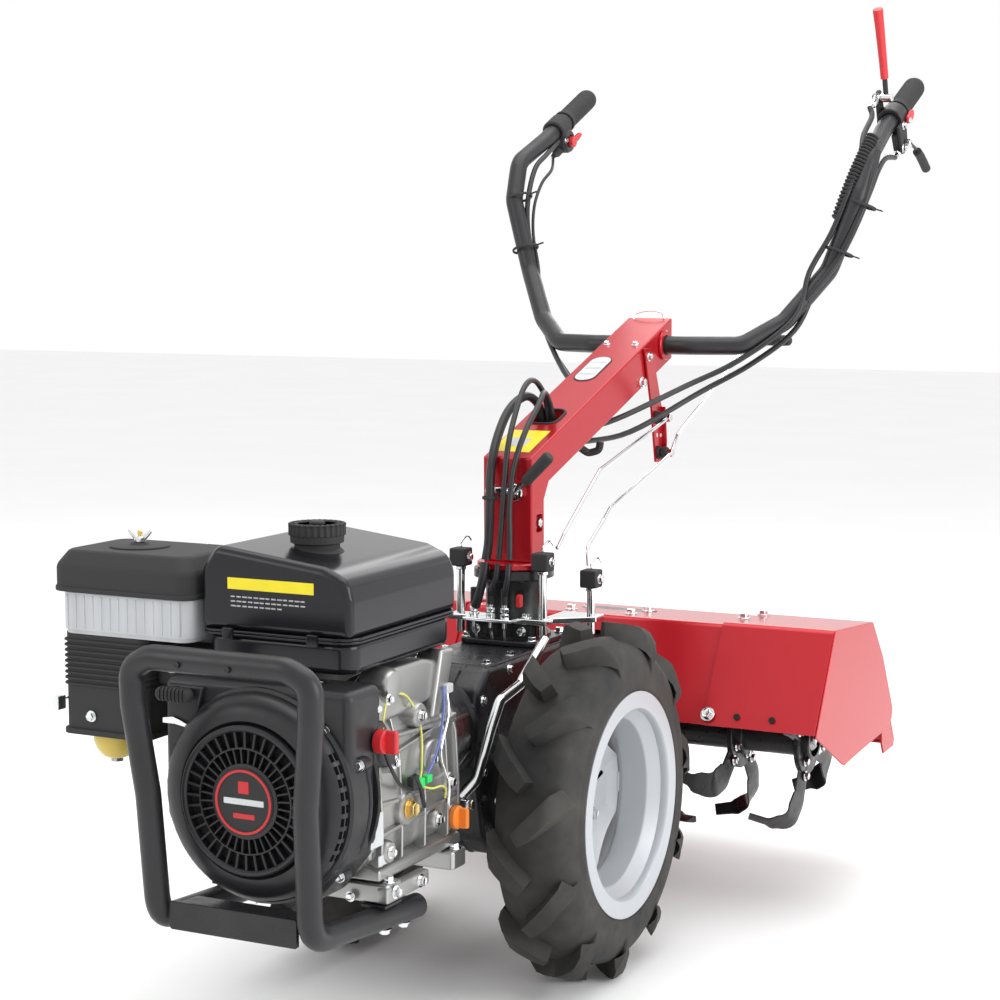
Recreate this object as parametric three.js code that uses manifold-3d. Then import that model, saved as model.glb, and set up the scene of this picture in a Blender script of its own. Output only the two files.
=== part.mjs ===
// A two-wheel walking tractor with a rear rotary tiller, in millimetres, +Z up.
// +Y points back to the handles and +X to the machine's left as the operator drives it.
// Places are written from the ground under the wheel axle; the last lines move the whole
// machine so that its origin is under the middle of its bounding box.
import * as THREE from 'three';
import { mergeVertices } from 'three/addons/utils/BufferGeometryUtils.js';
import Module from 'manifold-3d';

const wasm = await Module();
wasm.setup();

// ---- driving dimensions ----
const GAP = 0.3;
const SLIP = 0.9; // between a tube and a sleeve, whose flat sides come closer than their corners
const SHEET = 3;

const TYRE_R = 229;
const TYRE_SIDES = 24;
const AXLE_Z = TYRE_R * Math.cos(Math.PI / TYRE_SIDES);
const TYRE_IN = 122;
const TYRE_OUT = 231.5;
const RIM_R = 141.5;
const RIM_IN = 126;
const RIM_OUT = 231;
const AXLE_R = 17;

const CRANK_Z = 324;
const ENGINE_FRONT = -428;
const ENGINE_BACK = -225;
const CYLINDER_TILT = THREE.MathUtils.degToRad(25);
const TANK = { x: 98, front: -470, back: -222, bottom: 458, seam: 498, top: 594 };
const HOOP = { tube: 16, topX: 113, footX: 98, topY: -580, footY: -557, topZ: 483, railZ: 187 };

const GEARBOX_X = 62;
const GEARBOX_TOP = 400;
const WORM_R = 26;
const ROTOR = { y: 455, z: 228, r: 137, shaft: 15, end: 316 };

const COLUMN = { x: 36, pivotY: 128, bottom: 500 };
const SELECTORS = [{ name: 'left', x: 103, y: 152, top: 499 }, { name: 'middle', x: 60, y: 92, top: 526 },
  { name: 'right', x: -62, y: 92, top: 526 }];
const ARM_END = { y: 594, top: 823, under: 762 };
const BAR = { r: 14, y: 560, z: 783, half: 288 };
const GRIP_FOOT = { y: 828, z: 1108 };
const GRIP_END = { y: 986, z: 1182 };
const GRIP_PITCH = Math.atan2(GRIP_END.z - GRIP_FOOT.z, GRIP_END.y - GRIP_FOOT.y);
const GRIP_R = 17;

const HOOD_X = 370;
const HOOD_SEAM_X = 205;
const FLAP_HINGE = { y: 607, z: 328 };

// ---- finishes ----
const finish = (color, roughness, metalness = 0) => ({ color, roughness, metalness });
const BLACK_GLOSS = finish(0x0d0d0f, 0.25);
const BLACK_SATIN = finish(0x151517, 0.45);
const BLACK_PLASTIC = finish(0x18181a, 0.6);
const RED_PAINT = finish(0xb3131b, 0.3);
const RED_PLASTIC = finish(0xc4151c, 0.45);
const ALLOY = finish(0xa9aaa8, 0.55, 0.8);
const STEEL = finish(0xb9bbbd, 0.35, 1);
const CHROME = finish(0xd9dadc, 0.15, 1);
const RIM_SILVER = finish(0xb4b8bc, 0.4, 0.6);
const RUBBER = finish(0x141414, 0.85);
const CLEAR_BAND = finish(0xc3c7ca, 0.4);
const AMBER = finish(0xc8b03a, 0.3);
const ORANGE = finish(0xe07a1a, 0.5);

// ---- shapes ----
function outward(geometry) {
  const bare = geometry.index ? geometry.toNonIndexed() : geometry.clone();
  bare.deleteAttribute('normal');
  bare.deleteAttribute('uv');
  const merged = mergeVertices(bare, 1e-4);
  const at = merged.attributes.position;
  const index = merged.index.array;
  const corners = [0, 1, 2].map(() => new THREE.Vector3());
  let volume = 0;
  for (let i = 0; i < index.length; i += 3) {
    corners.forEach((corner, k) => corner.fromBufferAttribute(at, index[i + k]));
    volume += corners[0].dot(corners[1].cross(corners[2]));
  }
  if (volume < 0) index.reverse();
  return merged;
}

function solidOf(geometry) {
  const shell = outward(geometry);
  const vertProperties = Float32Array.from(shell.attributes.position.array);
  const triVerts = Uint32Array.from(shell.index.array);
  return new wasm.Manifold(new wasm.Mesh({ numProp: 3, vertProperties, triVerts }));
}

function geometryOf(solid) {
  const mesh = solid.getMesh();
  const geometry = new THREE.BufferGeometry();
  geometry.setAttribute('position', new THREE.BufferAttribute(mesh.vertProperties, 3));
  geometry.setIndex(new THREE.BufferAttribute(mesh.triVerts, 1));
  return geometry;
}

const join = (...parts) => geometryOf(parts.map(solidOf).reduce((a, b) => a.add(b)));
const cut = (base, ...tools) =>
  geometryOf(tools.map(solidOf).reduce((a, b) => a.subtract(b), solidOf(base)));

function block(x, y, z) {
  const shape = new THREE.BoxGeometry(x[1] - x[0], y[1] - y[0], z[1] - z[0]);
  return shape.translate((x[0] + x[1]) / 2, (y[0] + y[1]) / 2, (z[0] + z[1]) / 2);
}

// Turns a shape made about its own +Y into one about the named axis, through the centre
// given by the other two coordinates.
function along(axis, geometry, centre) {
  if (axis === 'x') return geometry.rotateZ(-Math.PI / 2).translate(0, centre[0], centre[1]);
  if (axis === 'z') return geometry.rotateX(Math.PI / 2).translate(centre[0], centre[1], 0);
  return geometry.translate(centre[0], 0, centre[1]);
}

function rod(axis, radius, from, to, centre, sides = 14) {
  const cylinder = new THREE.CylinderGeometry(radius, radius, to - from, sides);
  return along(axis, cylinder.translate(0, (from + to) / 2, 0), centre);
}

// A turned piece: profile points are [radius, distance along the axis].
function turned(axis, profile, centre, sides = 20, start = 0) {
  const points = profile.map(([radius, t]) => new THREE.Vector2(radius, t));
  return along(axis, new THREE.LatheGeometry(points, sides, start), centre);
}

// A flat outline carried along an axis: outlines are (y, z) for x, (x, z) for y, (x, y) for z.
function carried(axis, outline, from, to) {
  const shape = new THREE.Shape(outline.map(([u, v]) => new THREE.Vector2(u, v)));
  const body = new THREE.ExtrudeGeometry(shape, { depth: to - from, bevelEnabled: false });
  if (axis === 'x') return body.rotateX(Math.PI / 2).rotateZ(Math.PI / 2).translate(from, 0, 0);
  if (axis === 'y') return body.rotateX(Math.PI / 2).translate(0, to, 0);
  return body.translate(0, 0, from);
}

// A rectangle with round corners, as an outline.
function roundedRectangle(u, v, radius, steps = 3) {
  const corners = [[u[1] - radius, v[0] + radius, -90], [u[1] - radius, v[1] - radius, 0],
    [u[0] + radius, v[1] - radius, 90], [u[0] + radius, v[0] + radius, 180]];
  return corners.flatMap(([cu, cv, start]) => Array.from({ length: steps + 1 }, (_, i) => {
    const angle = THREE.MathUtils.degToRad(start + 90 * i / steps);
    return [cu + radius * Math.cos(angle), cv + radius * Math.sin(angle)];
  }));
}

// A line through the points with its corners rounded by curves that start `round` away.
function bentLine(points, round) {
  const at = points.map((point) => new THREE.Vector3(...point));
  const path = new THREE.CurvePath();
  let last = at[0];
  for (let i = 1; i < at.length - 1; i += 1) {
    const before = at[i].clone().add(at[i - 1].clone().sub(at[i]).setLength(round));
    const after = at[i].clone().add(at[i + 1].clone().sub(at[i]).setLength(round));
    path.add(new THREE.LineCurve3(last, before));
    path.add(new THREE.QuadraticBezierCurve3(before, at[i], after));
    last = after;
  }
  path.add(new THREE.LineCurve3(last, at[at.length - 1]));
  return path;
}

function tube(path, radius, sides, steps) {
  const ring = Array.from({ length: sides }, (_, i) => {
    const angle = 2 * Math.PI * i / sides;
    return new THREE.Vector2(radius * Math.cos(angle), radius * Math.sin(angle));
  });
  return new THREE.ExtrudeGeometry(new THREE.Shape(ring), { steps, extrudePath: path });
}

const bentTube = (points, radius, round, sides = 8, steps = 24) =>
  tube(bentLine(points, round), radius, sides, steps);

const mirrored = (points) => points.map(([x, y, z]) => [-x, y, z]).reverse();

// ---- the machine, one group for each body that moves ----
const tiller = new THREE.Group();

function body(parent = tiller) {
  const group = new THREE.Group();
  parent.add(group);
  return group;
}

function add(group, name, geometry, look) {
  const mesh = new THREE.Mesh(outward(geometry), new THREE.MeshStandardMaterial(look));
  mesh.name = name;
  group.add(mesh);
}

// ---- engine ----
function buildEngine(chassis) {
  const wall = 8;
  const caseX = [-92, 104];
  const caseZ = [230, 404];
  const crankBore = rod('y', 13, ENGINE_FRONT - 5, ENGINE_BACK + 5, [0, CRANK_Z]);
  const crankcase = cut(
    join(carried('y', roundedRectangle(caseX, caseZ, 22), ENGINE_FRONT, ENGINE_BACK),
      block([-100, 108], [ENGINE_FRONT + 4, ENGINE_BACK - 4], [218, 238])),
    block([caseX[0] + wall, caseX[1] - wall], [ENGINE_FRONT + wall, ENGINE_BACK - wall],
      [caseZ[0] + wall, caseZ[1] - wall]),
    crankBore,
    rod('x', 9, caseX[1] - wall - 2, caseX[1] + 2, [-244, 253]),
  );
  add(chassis, 'engine_crankcase', crankcase, ALLOY);

  const barrel = [60, 176];
  const head = [176, 236];
  const slab = (reach, half, y) => block([-reach[1], -reach[0]], y, [-half, half])
    .rotateY(-CYLINDER_TILT).rotateY(2 * CYLINDER_TILT).translate(0, 0, CRANK_Z);
  const fins = Array.from({ length: 5 }, (_, i) => 104 + 14 * i);
  const cylinder = join(slab(barrel, 46, [-384, -276]), slab(head, 56, [-392, -268]),
    ...fins.map((reach) => slab([reach, reach + 5], 56, [-392, -268])));
  add(chassis, 'cylinder_head', cut(cylinder, block([caseX[0] - GAP, 60], [-500, -200], [200, 600])),
    ALLOY);

  const muffler = carried('z', roundedRectangle([-258, -106], [-342, -228], 24), 482, 556);
  add(chassis, 'muffler', join(muffler, rod('y', 12, -232, -214, [-232, 520])), BLACK_SATIN);

  const duct = [[-131, 452], [-131, 284], [-66, 219], [66, 206], [112, 262], [119, 452]];
  const ductInside = [[-128, 449], [-128, 285], [-65, 222], [64, 209], [109, 263], [116, 449]];
  add(chassis, 'blower_housing', cut(carried('y', duct, -505, ENGINE_FRONT - GAP),
    carried('y', ductInside, -502, ENGINE_FRONT + 5),
    rod('y', 74, -510, -495, [0, CRANK_Z], 24)), BLACK_SATIN);

  const cover = [[0, -533], [36, -533], [66, -528], [86, -516], [90, -505.3], [86, -505.3],
    [82, -514], [64, -524], [0, -526]];
  add(chassis, 'recoil_cover', turned('y', cover, [0, CRANK_Z]), BLACK_PLASTIC);

  add(chassis, 'intake_box', cut(
    block([-286, -170], [-476, -398], [366, 483.7]),
    block([-279, -177], [-469, -380], [374, 460]),
  ), BLACK_PLASTIC);
  add(chassis, 'fuel_bowl', turned('z', [[0, 330], [14, 331], [26, 344], [29, 365.7], [0, 365.7]],
    [-238, -440], 16), AMBER);

  const cleaner = roundedRectangle([-288, -106], [-480, -350], 18);
  const cleanerInside = roundedRectangle([-285, -109], [-477, -353], 15);
  add(chassis, 'air_cleaner_body', cut(carried('z', cleaner, 484, 529.7),
    carried('z', cleanerInside, 488, 540)), CLEAR_BAND);
  add(chassis, 'engine_base', join(
    block([-118, 118], [-425, -390], [194, 217.7]),
    block([-118, 118], [-270, -235], [194, 217.7]),
    block([-60, 60], [-395, -265], [204, 214]),
  ), STEEL);
}

function buildTank(chassis) {
  const { x, front, back, bottom, seam, top } = TANK;
  const lower = roundedRectangle([-x + 2, x - 2], [front + 3, back - 3], 22);
  const lowerInside = roundedRectangle([-x + 5, x - 5], [front + 6, back - 6], 19);
  add(chassis, 'fuel_tank_lower', cut(
    join(carried('z', lower, bottom, seam - 4),
      carried('z', roundedRectangle([-x - 4, x + 4], [front - 4, back + 4], 24), seam - 4, seam)),
    carried('z', lowerInside, bottom + SHEET, seam + 5),
  ), BLACK_GLOSS);

  const crown = [[-x, seam + GAP], [-x, 566], [-78, top], [62, 577], [89, 566], [x, 548],
    [x, seam + GAP]];
  const hollow = [[-x + 3, seam - 5], [-x + 3, 564], [-77, top - 3], [61, 574], [87, 563],
    [x - 3, 546], [x - 3, seam - 5]];
  add(chassis, 'fuel_tank_upper', cut(
    join(carried('y', crown, front, back), rod('z', 24, 560, 598, [2, -380])),
    carried('y', hollow, front + SHEET, back - SHEET),
    rod('z', 21, 550, 600, [2, -380]),
  ), BLACK_GLOSS);
}

function buildEngineControls(chassis) {
  const cap = body(chassis);
  add(cap, 'fuel_cap', turned('z', [[0, 590], [18, 590], [18, 598.3], [25.5, 598.3], [25.5, 592],
    [33, 592], [34, 612], [30, 617], [0, 617]], [2, -380], 14), BLACK_PLASTIC);

  const lid = body(chassis);
  const lidOutline = roundedRectangle([-297, -102], [-486, -346], 20);
  add(lid, 'air_cleaner_cover', join(carried('z', lidOutline, 530, 560),
    carried('z', roundedRectangle([-282, -112], [-474, -356], 18), 560, 577),
    rod('z', 36, 577, 581, [-216, -418]), rod('z', 8, 581, 592, [-216, -418], 12)), BLACK_PLASTIC);

  const pull = body(chassis);
  add(pull, 'recoil_handle', join(block([-124, -78], [-525, -508], [422, 440]),
    rod('y', 6, -509, -505.3, [-101, 431], 12)), BLACK_PLASTIC);

  const oil = body(chassis);
  add(oil, 'oil_filler_cap', join(rod('x', 8.5, 98, 105, [-244, 253], 16),
    rod('x', 14, 104.3, 116, [-244, 253], 16), block([114, 124], [-249, -239], [241, 265])), ORANGE);

  const key = body(chassis);
  add(key, 'engine_switch', join(rod('x', 14, 117.3, 130, [-446, 386], 16),
    block([128, 142], [-456, -436], [382, 390])), RED_PLASTIC);
}

function buildBumper(chassis) {
  const side = [[HOOP.topX - 34, HOOP.topY, HOOP.topZ], [HOOP.topX, HOOP.topY, HOOP.topZ - 40],
    [HOOP.topX - 13, -570, 340], [HOOP.footX, HOOP.footY, HOOP.railZ], [104, -335, HOOP.railZ - 17]];
  const hoop = [...mirrored(side), ...side];
  add(chassis, 'bumper_hoop', bentTube(hoop, HOOP.tube, 24, 8, 50), BLACK_SATIN);
  add(chassis, 'bumper_plate', block([-81.5, 81.5], [-560, -554], [178, 210]), BLACK_SATIN);
}

// ---- transmission ----
function buildTransmission(chassis) {
  const bell = [[92, ENGINE_BACK + GAP], [92, -190], [70, -150], [60, -100], [54, -100],
    [62, -150], [82, -188], [82, ENGINE_BACK + GAP], [92, ENGINE_BACK + GAP]];
  add(chassis, 'clutch_housing', turned('y', bell, [0, CRANK_Z]), BLACK_SATIN);

  const outer = [[-99.7, 256], [-84, 180], [-44, 150], [44, 150], [84, 180], [168, 262],
    [168, GEARBOX_TOP], [-66, GEARBOX_TOP], [-99.7, 372]];
  const inner = [[-92, 258], [-76, 184], [-40, 157], [40, 157], [76, 184], [160, 266],
    [160, GEARBOX_TOP - 8], [-62, GEARBOX_TOP - 8], [-92, 368]];
  add(chassis, 'gearbox_housing', cut(carried('x', outer, -GEARBOX_X, GEARBOX_X),
    carried('x', inner, -GEARBOX_X + 8, GEARBOX_X - 8),
    rod('x', AXLE_R + SLIP, -80, 80, [0, AXLE_Z]),
    rod('y', 15 + SLIP, -110, 180, [0, CRANK_Z])), BLACK_SATIN);

  const base = join(rod('z', 44, GEARBOX_TOP + GAP, 492, [0, COLUMN.pivotY]),
    rod('z', 52, 484, COLUMN.bottom - GAP, [0, COLUMN.pivotY], 24),
    block([-74, 70], [80, 104], [430, 438]), block([56, 116], [92, 166], [430, 438]),
    block([-50, 50], [84, 120], [404, 480]));
  const shaftBores = SELECTORS.map(({ x, y }) => [x, y])
    .map((centre) => rod('z', 6.5, 402, 510, centre, 12));
  add(chassis, 'column_base', cut(base, ...shaftBores), BLACK_SATIN);

  const coupling = [[54, 168 + GAP], [54, 182], [44, 186], [44, 200], [54, 204], [54, 215],
    [15 + SLIP, 215], [15 + SLIP, 168 + GAP], [54, 168 + GAP]];
  add(chassis, 'pto_coupling', turned('y', coupling, [0, CRANK_Z]), BLACK_SATIN);
}

function buildTillerFrame(chassis) {
  const outer = [[215.3, 372], [215.3, 280], [340, 280], [390, 232], [524, 232], [514, 372]];
  const inner = [[223, 364], [223, 288], [344, 288], [394, 240], [515, 240], [506, 364]];
  const axis = [ROTOR.y, ROTOR.z];
  add(chassis, 'tiller_gearcase', cut(
    join(carried('x', outer, -36, 36), rod('x', 78, -36, 36, axis, 24),
      block([-36, 36], [398, 448], [370, 388])),
    join(carried('x', inner, -30, 30), rod('x', 71, -30, 30, axis, 24)),
    rod('y', 15 + SLIP, 200, 240, [0, CRANK_Z]), rod('x', ROTOR.shaft + SLIP, -50, 50, axis),
  ), BLACK_SATIN);

  // Bent sheet: front slope, flat top, rear slope. The extensions lap over its ends.
  const rise = (lift) => [[306 - lift, 269], [384 - lift * 0.8, 396 + lift], [554 + lift * 0.4,
    382 + lift], [605 + lift, 330 + lift * 0.4]];
  const sheet = (lift) => [...rise(lift), ...rise(lift + SHEET).reverse()];
  add(chassis, 'tiller_hood', cut(carried('x', sheet(0), -HOOD_SEAM_X - 20, HOOD_SEAM_X + 20),
    block([-39, 39], [280, 378], [250, 376])), RED_PAINT);

  const side = [[303, 266], [381, 402], [556, 388], [609, 328], [663, 241], [656, 224], [624, 215],
    [502, 207], [446, 203], [432, 201], [420, 206], [311, 262]];
  for (const [name, sign] of [['left', 1], ['right', -1]]) {
    const ends = [sign * HOOD_SEAM_X, sign * (HOOD_X - 1)].sort((a, b) => a - b);
    const face = [sign * (HOOD_X - SHEET), sign * HOOD_X].sort((a, b) => a - b);
    add(chassis, `hood_extension_${name}`,
      join(carried('x', sheet(SHEET + GAP), ...ends), carried('x', side, ...face)), RED_PAINT);
  }

  const flap = body(chassis);
  const wing = [[612, 322], [616, 322], [694, 184], [690, 176], [640, 176], [630, 192]];
  add(flap, 'rear_flap', join(
    carried('x', [[610, 322], [615, 324], [696, 182], [691, 179]], -364, 364),
    rod('x', 6, -350, 350, [FLAP_HINGE.y + 8, FLAP_HINGE.z - 4], 10),
    carried('x', wing, 361, 364), carried('x', wing, -364, -361)), RED_PAINT);
}

// ---- turning parts ----
function buildCrank(chassis) {
  const crank = body(chassis);
  add(crank, 'crankshaft', join(rod('y', 12.5, -515, -165, [0, CRANK_Z]),
    rod('y', 46, -352, -302, [0, CRANK_Z])), STEEL);
  add(crank, 'flywheel_fan', turned('y', [[12.8, -498], [40, -498], [50, -470], [92, -466],
    [96, -446], [12.8, -446], [12.8, -498]], [0, CRANK_Z]), ALLOY);
  add(crank, 'clutch_drum', turned('y', [[12.8, -212], [58, -212], [58, -170], [12.8, -170],
    [12.8, -212]], [0, CRANK_Z]), STEEL);
}

function buildDrive(chassis) {
  const drive = body(chassis);
  const centre = [0, CRANK_Z];
  add(drive, 'worm_shaft', join(rod('y', 15, -160, 440, centre), rod('y', WORM_R, -45, 45, centre),
    rod('y', WORM_R, ROTOR.y - 40, ROTOR.y + 40, centre), rod('y', 44, -164, -150, centre)), STEEL);

  const wheels = body(chassis);
  const hub = (sign) => rod('x', 52, ...[sign * 146, sign * 154].sort((a, b) => a - b), [0, AXLE_Z]);
  add(wheels, 'wheel_axle', join(rod('x', AXLE_R, -170, 170, [0, AXLE_Z]), hub(1), hub(-1)), STEEL);
  add(wheels, 'axle_gear', turned('x', [[AXLE_R + GAP, -16], [66, -16], [66, 16],
    [AXLE_R + GAP, 16], [AXLE_R + GAP, -16]], [0, AXLE_Z]), STEEL);
  const flatDown = Math.PI / TYRE_SIDES;
  for (const [name, sign] of [['left', 1], ['right', -1]]) {
    const at = (points) => points.map(([radius, x]) => [radius, sign * x]);
    const rim = [[18, 154.3], [60, 154.3], [80, 168], [106, 168], [107, 152], [119, RIM_IN],
      [RIM_R, RIM_IN], [RIM_R, 132], [124, 132], [111, 146], [111, 204], [124, 216], [124, 226],
      [RIM_R, 226], [RIM_R, RIM_OUT], [120, RIM_OUT], [107, 208], [107, 174], [80, 174], [60, 160],
      [18, 160], [18, 154.3]];
    add(wheels, `rim_${name}`, turned('x', at(rim), [0, AXLE_Z], TYRE_SIDES, flatDown), RIM_SILVER);
    const seat = 124 + GAP;
    const flange = RIM_R + GAP;
    const tyre = [[flange, 225.7], [152, TYRE_OUT], [165, 229], [183, 220], [206, 210],
      [TYRE_R, 196], [TYRE_R, 140], [214, 128], [185, TYRE_IN], [155, 124], [flange, 132.3],
      [seat, 132.3], [seat, 142], [204, 144], [213, 168], [204, 194], [seat, 214], [seat, 225.7],
      [flange, 225.7]];
    add(wheels, `tyre_${name}`, turned('x', at(tyre), [0, AXLE_Z], TYRE_SIDES, flatDown), RUBBER);
  }
}

function buildRotor(chassis) {
  const rotor = body(chassis);
  const { y, z, r, shaft, end } = ROTOR;
  add(rotor, 'rotor_shaft', join(rod('x', shaft, -end - 2, end + 2, [y, z]),
    rod('x', 64, -14, 14, [y, z], 20)), STEEL);

  const footLength = 50;
  const tine = (x, inward, turn) => join(
    block([x - 5, x + 5], [-17, 17], [-r + 4, -30]),
    block([x, x + inward * footLength].sort((a, b) => a - b), [-17, 17], [-r, -r + 7]),
  ).rotateX(THREE.MathUtils.degToRad(turn)).translate(0, y, z);
  const stations = [{ x: 92, inward: 1 }, { x: 206, inward: -1 }, { x: 306, inward: -1 }];
  for (const [name, sign] of [['left', 1], ['right', -1]]) {
    const sleeve = rod('x', 24, ...[sign * 48, sign * (end - 4)].sort((a, b) => a - b), [y, z]);
    const discs = stations.map(({ x }) => rod('x', 50, sign * x - 4, sign * x + 4, [y, z], 12));
    const tines = stations.flatMap(({ x, inward }, i) => [0, 90, 180, 270]
      .map((turn) => tine(sign * x, sign * inward, turn + 30 * i)));
    const bore = rod('x', shaft + GAP, -400, 400, [y, z], 14);
    add(rotor, `rotor_${name}`, cut(join(sleeve, ...discs, ...tines), bore), BLACK_SATIN);
  }
}

// ---- steering and controls ----
function buildSteering(chassis) {
  const column = body(chassis);
  const { x, bottom } = COLUMN;
  const outer = [[108, bottom + 8], [148, bottom + 8], [147, 590], [162, 613], [ARM_END.y, ARM_END.under],
    [ARM_END.y, ARM_END.top], [107, 649]];
  const inner = [[111, bottom + 11], [145, bottom + 11], [144, 591], [160, 616], [600, 767],
    [600, 822], [110, 647]];
  const boxed = cut(carried('x', outer, -x, x), carried('x', inner, -x + SHEET, x - SHEET),
    rod('x', BAR.r + 0.6, -60, 60, [BAR.y, BAR.z]), rod('z', 16, 680, 720, [0, 238]));
  add(column, 'steering_column', join(boxed,
    rod('z', 50, bottom, bottom + 9, [0, COLUMN.pivotY], 24)), RED_PAINT);
  add(column, 'rod_bracket', carried('x', [[476, 782], [508, 782], [546, 690], [550, 612], [520, 612],
    [506, 690]], x + GAP, x + 5), RED_PAINT);

  const lock = body(column);
  add(lock, 'swivel_lock_lever', join(rod('y', 9, 97, 107 - GAP, [14, 603], 12),
    bentTube([[14, 98, 603], [34, 96, 621], [68, 94, 655]], 8, 6, 8, 6)), BLACK_PLASTIC);

  add(column, 'front_cables', bentTube([[0, 236, 712], [0, 206, 748], [-4, 146, 724], [-8, 88, 660],
    [-6, 80, 560], [0, 72, 514]], 6, 18, 8, 20), BLACK_PLASTIC);
  return column;
}

function buildHandlebar(column) {
  const bar = body(column);
  const x = BAR.half;
  const half = [[80, BAR.y, BAR.z], [150, 590, 783], [200, 636, 818], [250, 690, 894],
    [x, 709, 1006], [x + 7, 742, 1068], [x, GRIP_FOOT.y, GRIP_FOOT.z], [x, GRIP_END.y, GRIP_END.z]];
  add(bar, 'handlebar_tube', bentTube([...mirrored(half), ...half], BAR.r, 22, 10, 52), BLACK_SATIN);

  // Each handle end has its own frame: +Y out along the tube, its origin at the tube's end.
  const ends = [1, -1].map((sign) => {
    const end = body(bar);
    end.position.set(sign * x, GRIP_END.y, GRIP_END.z);
    end.rotation.x = GRIP_PITCH;
    return end;
  });
  const bore = BAR.r + SLIP;
  const collar = (outer, from, to) => turned('y', [[bore, from], [outer, from], [outer, to],
    [bore, to], [bore, from]], [0, 0], 14);
  const sleeve = [[bore, -100], [GRIP_R + 2, -100], [GRIP_R, -92], [GRIP_R, 8], [GRIP_R - 3, 14],
    [0, 14], [0, GAP], [bore, GAP], [bore, -100]];
  for (const [i, name] of ['left', 'right'].entries()) {
    add(ends[i], `grip_${name}`, turned('y', sleeve, [0, 0], 14), RUBBER);
  }

  const [left, right] = ends;
  const upperCheek = [[-138, 0], [-108, 0], [-112, 44], [-134, 44]];
  const lowerCheek = [[-158, 0], [-116, 0], [-124, -50], [-152, -50]];
  add(left, 'clutch_bracket', join(collar(21, -140, -106), carried('x', upperCheek, -21, -15),
    carried('x', lowerCheek, 15, 21)), BLACK_SATIN);
  const clutch = body(left);
  add(clutch, 'clutch_lever', join(rod('x', 7, -14.7, 4, [-123, 34], 12),
    bentTube([[-6, -123, 34], [-6, -118, 70], [-8, -110, 166]], 9, 12, 8, 8)), RED_PLASTIC);
  const brake = body(left);
  add(brake, 'brake_lever', join(rod('x', 7, 21.3, 30, [-136, -37], 12),
    bentTube([[29, -136, -37], [30, -104, -66], [30, -72, -108]], 6, 10, 8, 8)), BLACK_PLASTIC);
  const trigger = body(left);
  add(trigger, 'safety_catch', join(rod('x', 5, 21.3, 28, [-120, -6], 12),
    block([21.3, 27], [-120, -94], [-11, 2])), RED_PLASTIC);

  add(right, 'throttle_housing', join(collar(20, -146, -106), block([-12, 18], [-142, -110], [-34, -15])),
    BLACK_PLASTIC);
  const throttle = body(right);
  add(throttle, 'throttle_lever', join(rod('x', 9, 20.3, 28, [-126, -24], 14),
    block([21, 28], [-124, -92], [-28, -18])), RED_PLASTIC);

  add(bar, 'handle_cables', bentTube([[x + 22, 800, 1070], [x + 26, 742, 1040], [x + 14, 686, 990],
    [264, 662, 884], [210, 608, 794]], 5, 20, 8, 20), BLACK_PLASTIC);
}

function buildGearLinkage(chassis, column) {
  for (const { name, x, y, top } of SELECTORS) {
    const selector = body(chassis);
    add(selector, `selector_shaft_${name}`, join(rod('z', 6, 412, top - 10, [x, y], 12),
      block([x - 12, x + 12], [y - 12, y + 12], [top - 24, top])), BLACK_SATIN);
  }
  const upper = body(column);
  add(upper, 'upper_gear_rod', join(
    bentTube([[72, 112, 531], [62, 152, 543], [60, 275, 620], [60, 522, 677]], 3, 8, 6, 16),
    rod('x', 9, 46, 66, [522, 677], 12)), CHROME);
  const lower = body(column);
  add(lower, 'lower_gear_rod', join(
    bentTube([[100, 150, 504], [96, 154, 528], [88, 226, 557], [80, 265, 569], [62, 531, 624],
      [60, 560, 650], [126, 690, 788]], 3, 8, 6, 30),
    rod('x', 9, 46, 66, [531, 624], 12), rod('x', 8.5, 124, 192, [690, 788], 12)), CHROME);

  const shift = body(chassis);
  add(shift, 'drive_lever', bentTube([[84, -190, 262], [97, -171, 281], [95, -130, 335],
    [95, -103, 367], [95, -47, 377], [95, 26, 423]], 7, 10, 8, 14), CHROME);
}

const chassis = body();
buildEngine(chassis);
buildTank(chassis);
buildEngineControls(chassis);
buildBumper(chassis);
buildTransmission(chassis);
buildTillerFrame(chassis);
buildCrank(chassis);
buildDrive(chassis);
buildRotor(chassis);
const column = buildSteering(chassis);
buildHandlebar(column);
buildGearLinkage(chassis, column);

// The origin: under the middle of the machine's box, on the ground.
const box = new THREE.Box3().setFromObject(tiller, true);
tiller.position.set(0, -(box.min.y + box.max.y) / 2, -box.min.z);

export default tiller;
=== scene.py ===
"""Builds the looks of a two-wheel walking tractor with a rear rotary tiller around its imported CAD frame.

Lengths are in millimetres from the ground under the wheel axle, +X to the machine's left and +Y back
towards the handles, and at() turns them into the frame's metres.
"""
import math

import bmesh
import bpy
from mathutils import Matrix, Vector


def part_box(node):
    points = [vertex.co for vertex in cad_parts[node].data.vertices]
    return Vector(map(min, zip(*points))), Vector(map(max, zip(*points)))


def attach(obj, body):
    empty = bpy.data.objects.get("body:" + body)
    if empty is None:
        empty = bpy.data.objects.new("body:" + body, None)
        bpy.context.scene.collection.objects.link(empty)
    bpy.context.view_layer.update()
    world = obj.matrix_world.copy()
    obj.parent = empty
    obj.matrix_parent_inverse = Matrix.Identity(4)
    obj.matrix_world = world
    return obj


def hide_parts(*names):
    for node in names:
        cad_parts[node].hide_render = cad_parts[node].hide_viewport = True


bl_info = {
    "name": "Two-wheel tiller",
    "version": (1, 0, 0),
    "blender": (4, 5, 0),
    "location": "View3D > Sidebar > Tiller",
    "description": "Adds the pieces of a walk-behind tractor with a rotary tiller",
    "category": "Add Mesh",
}

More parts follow.
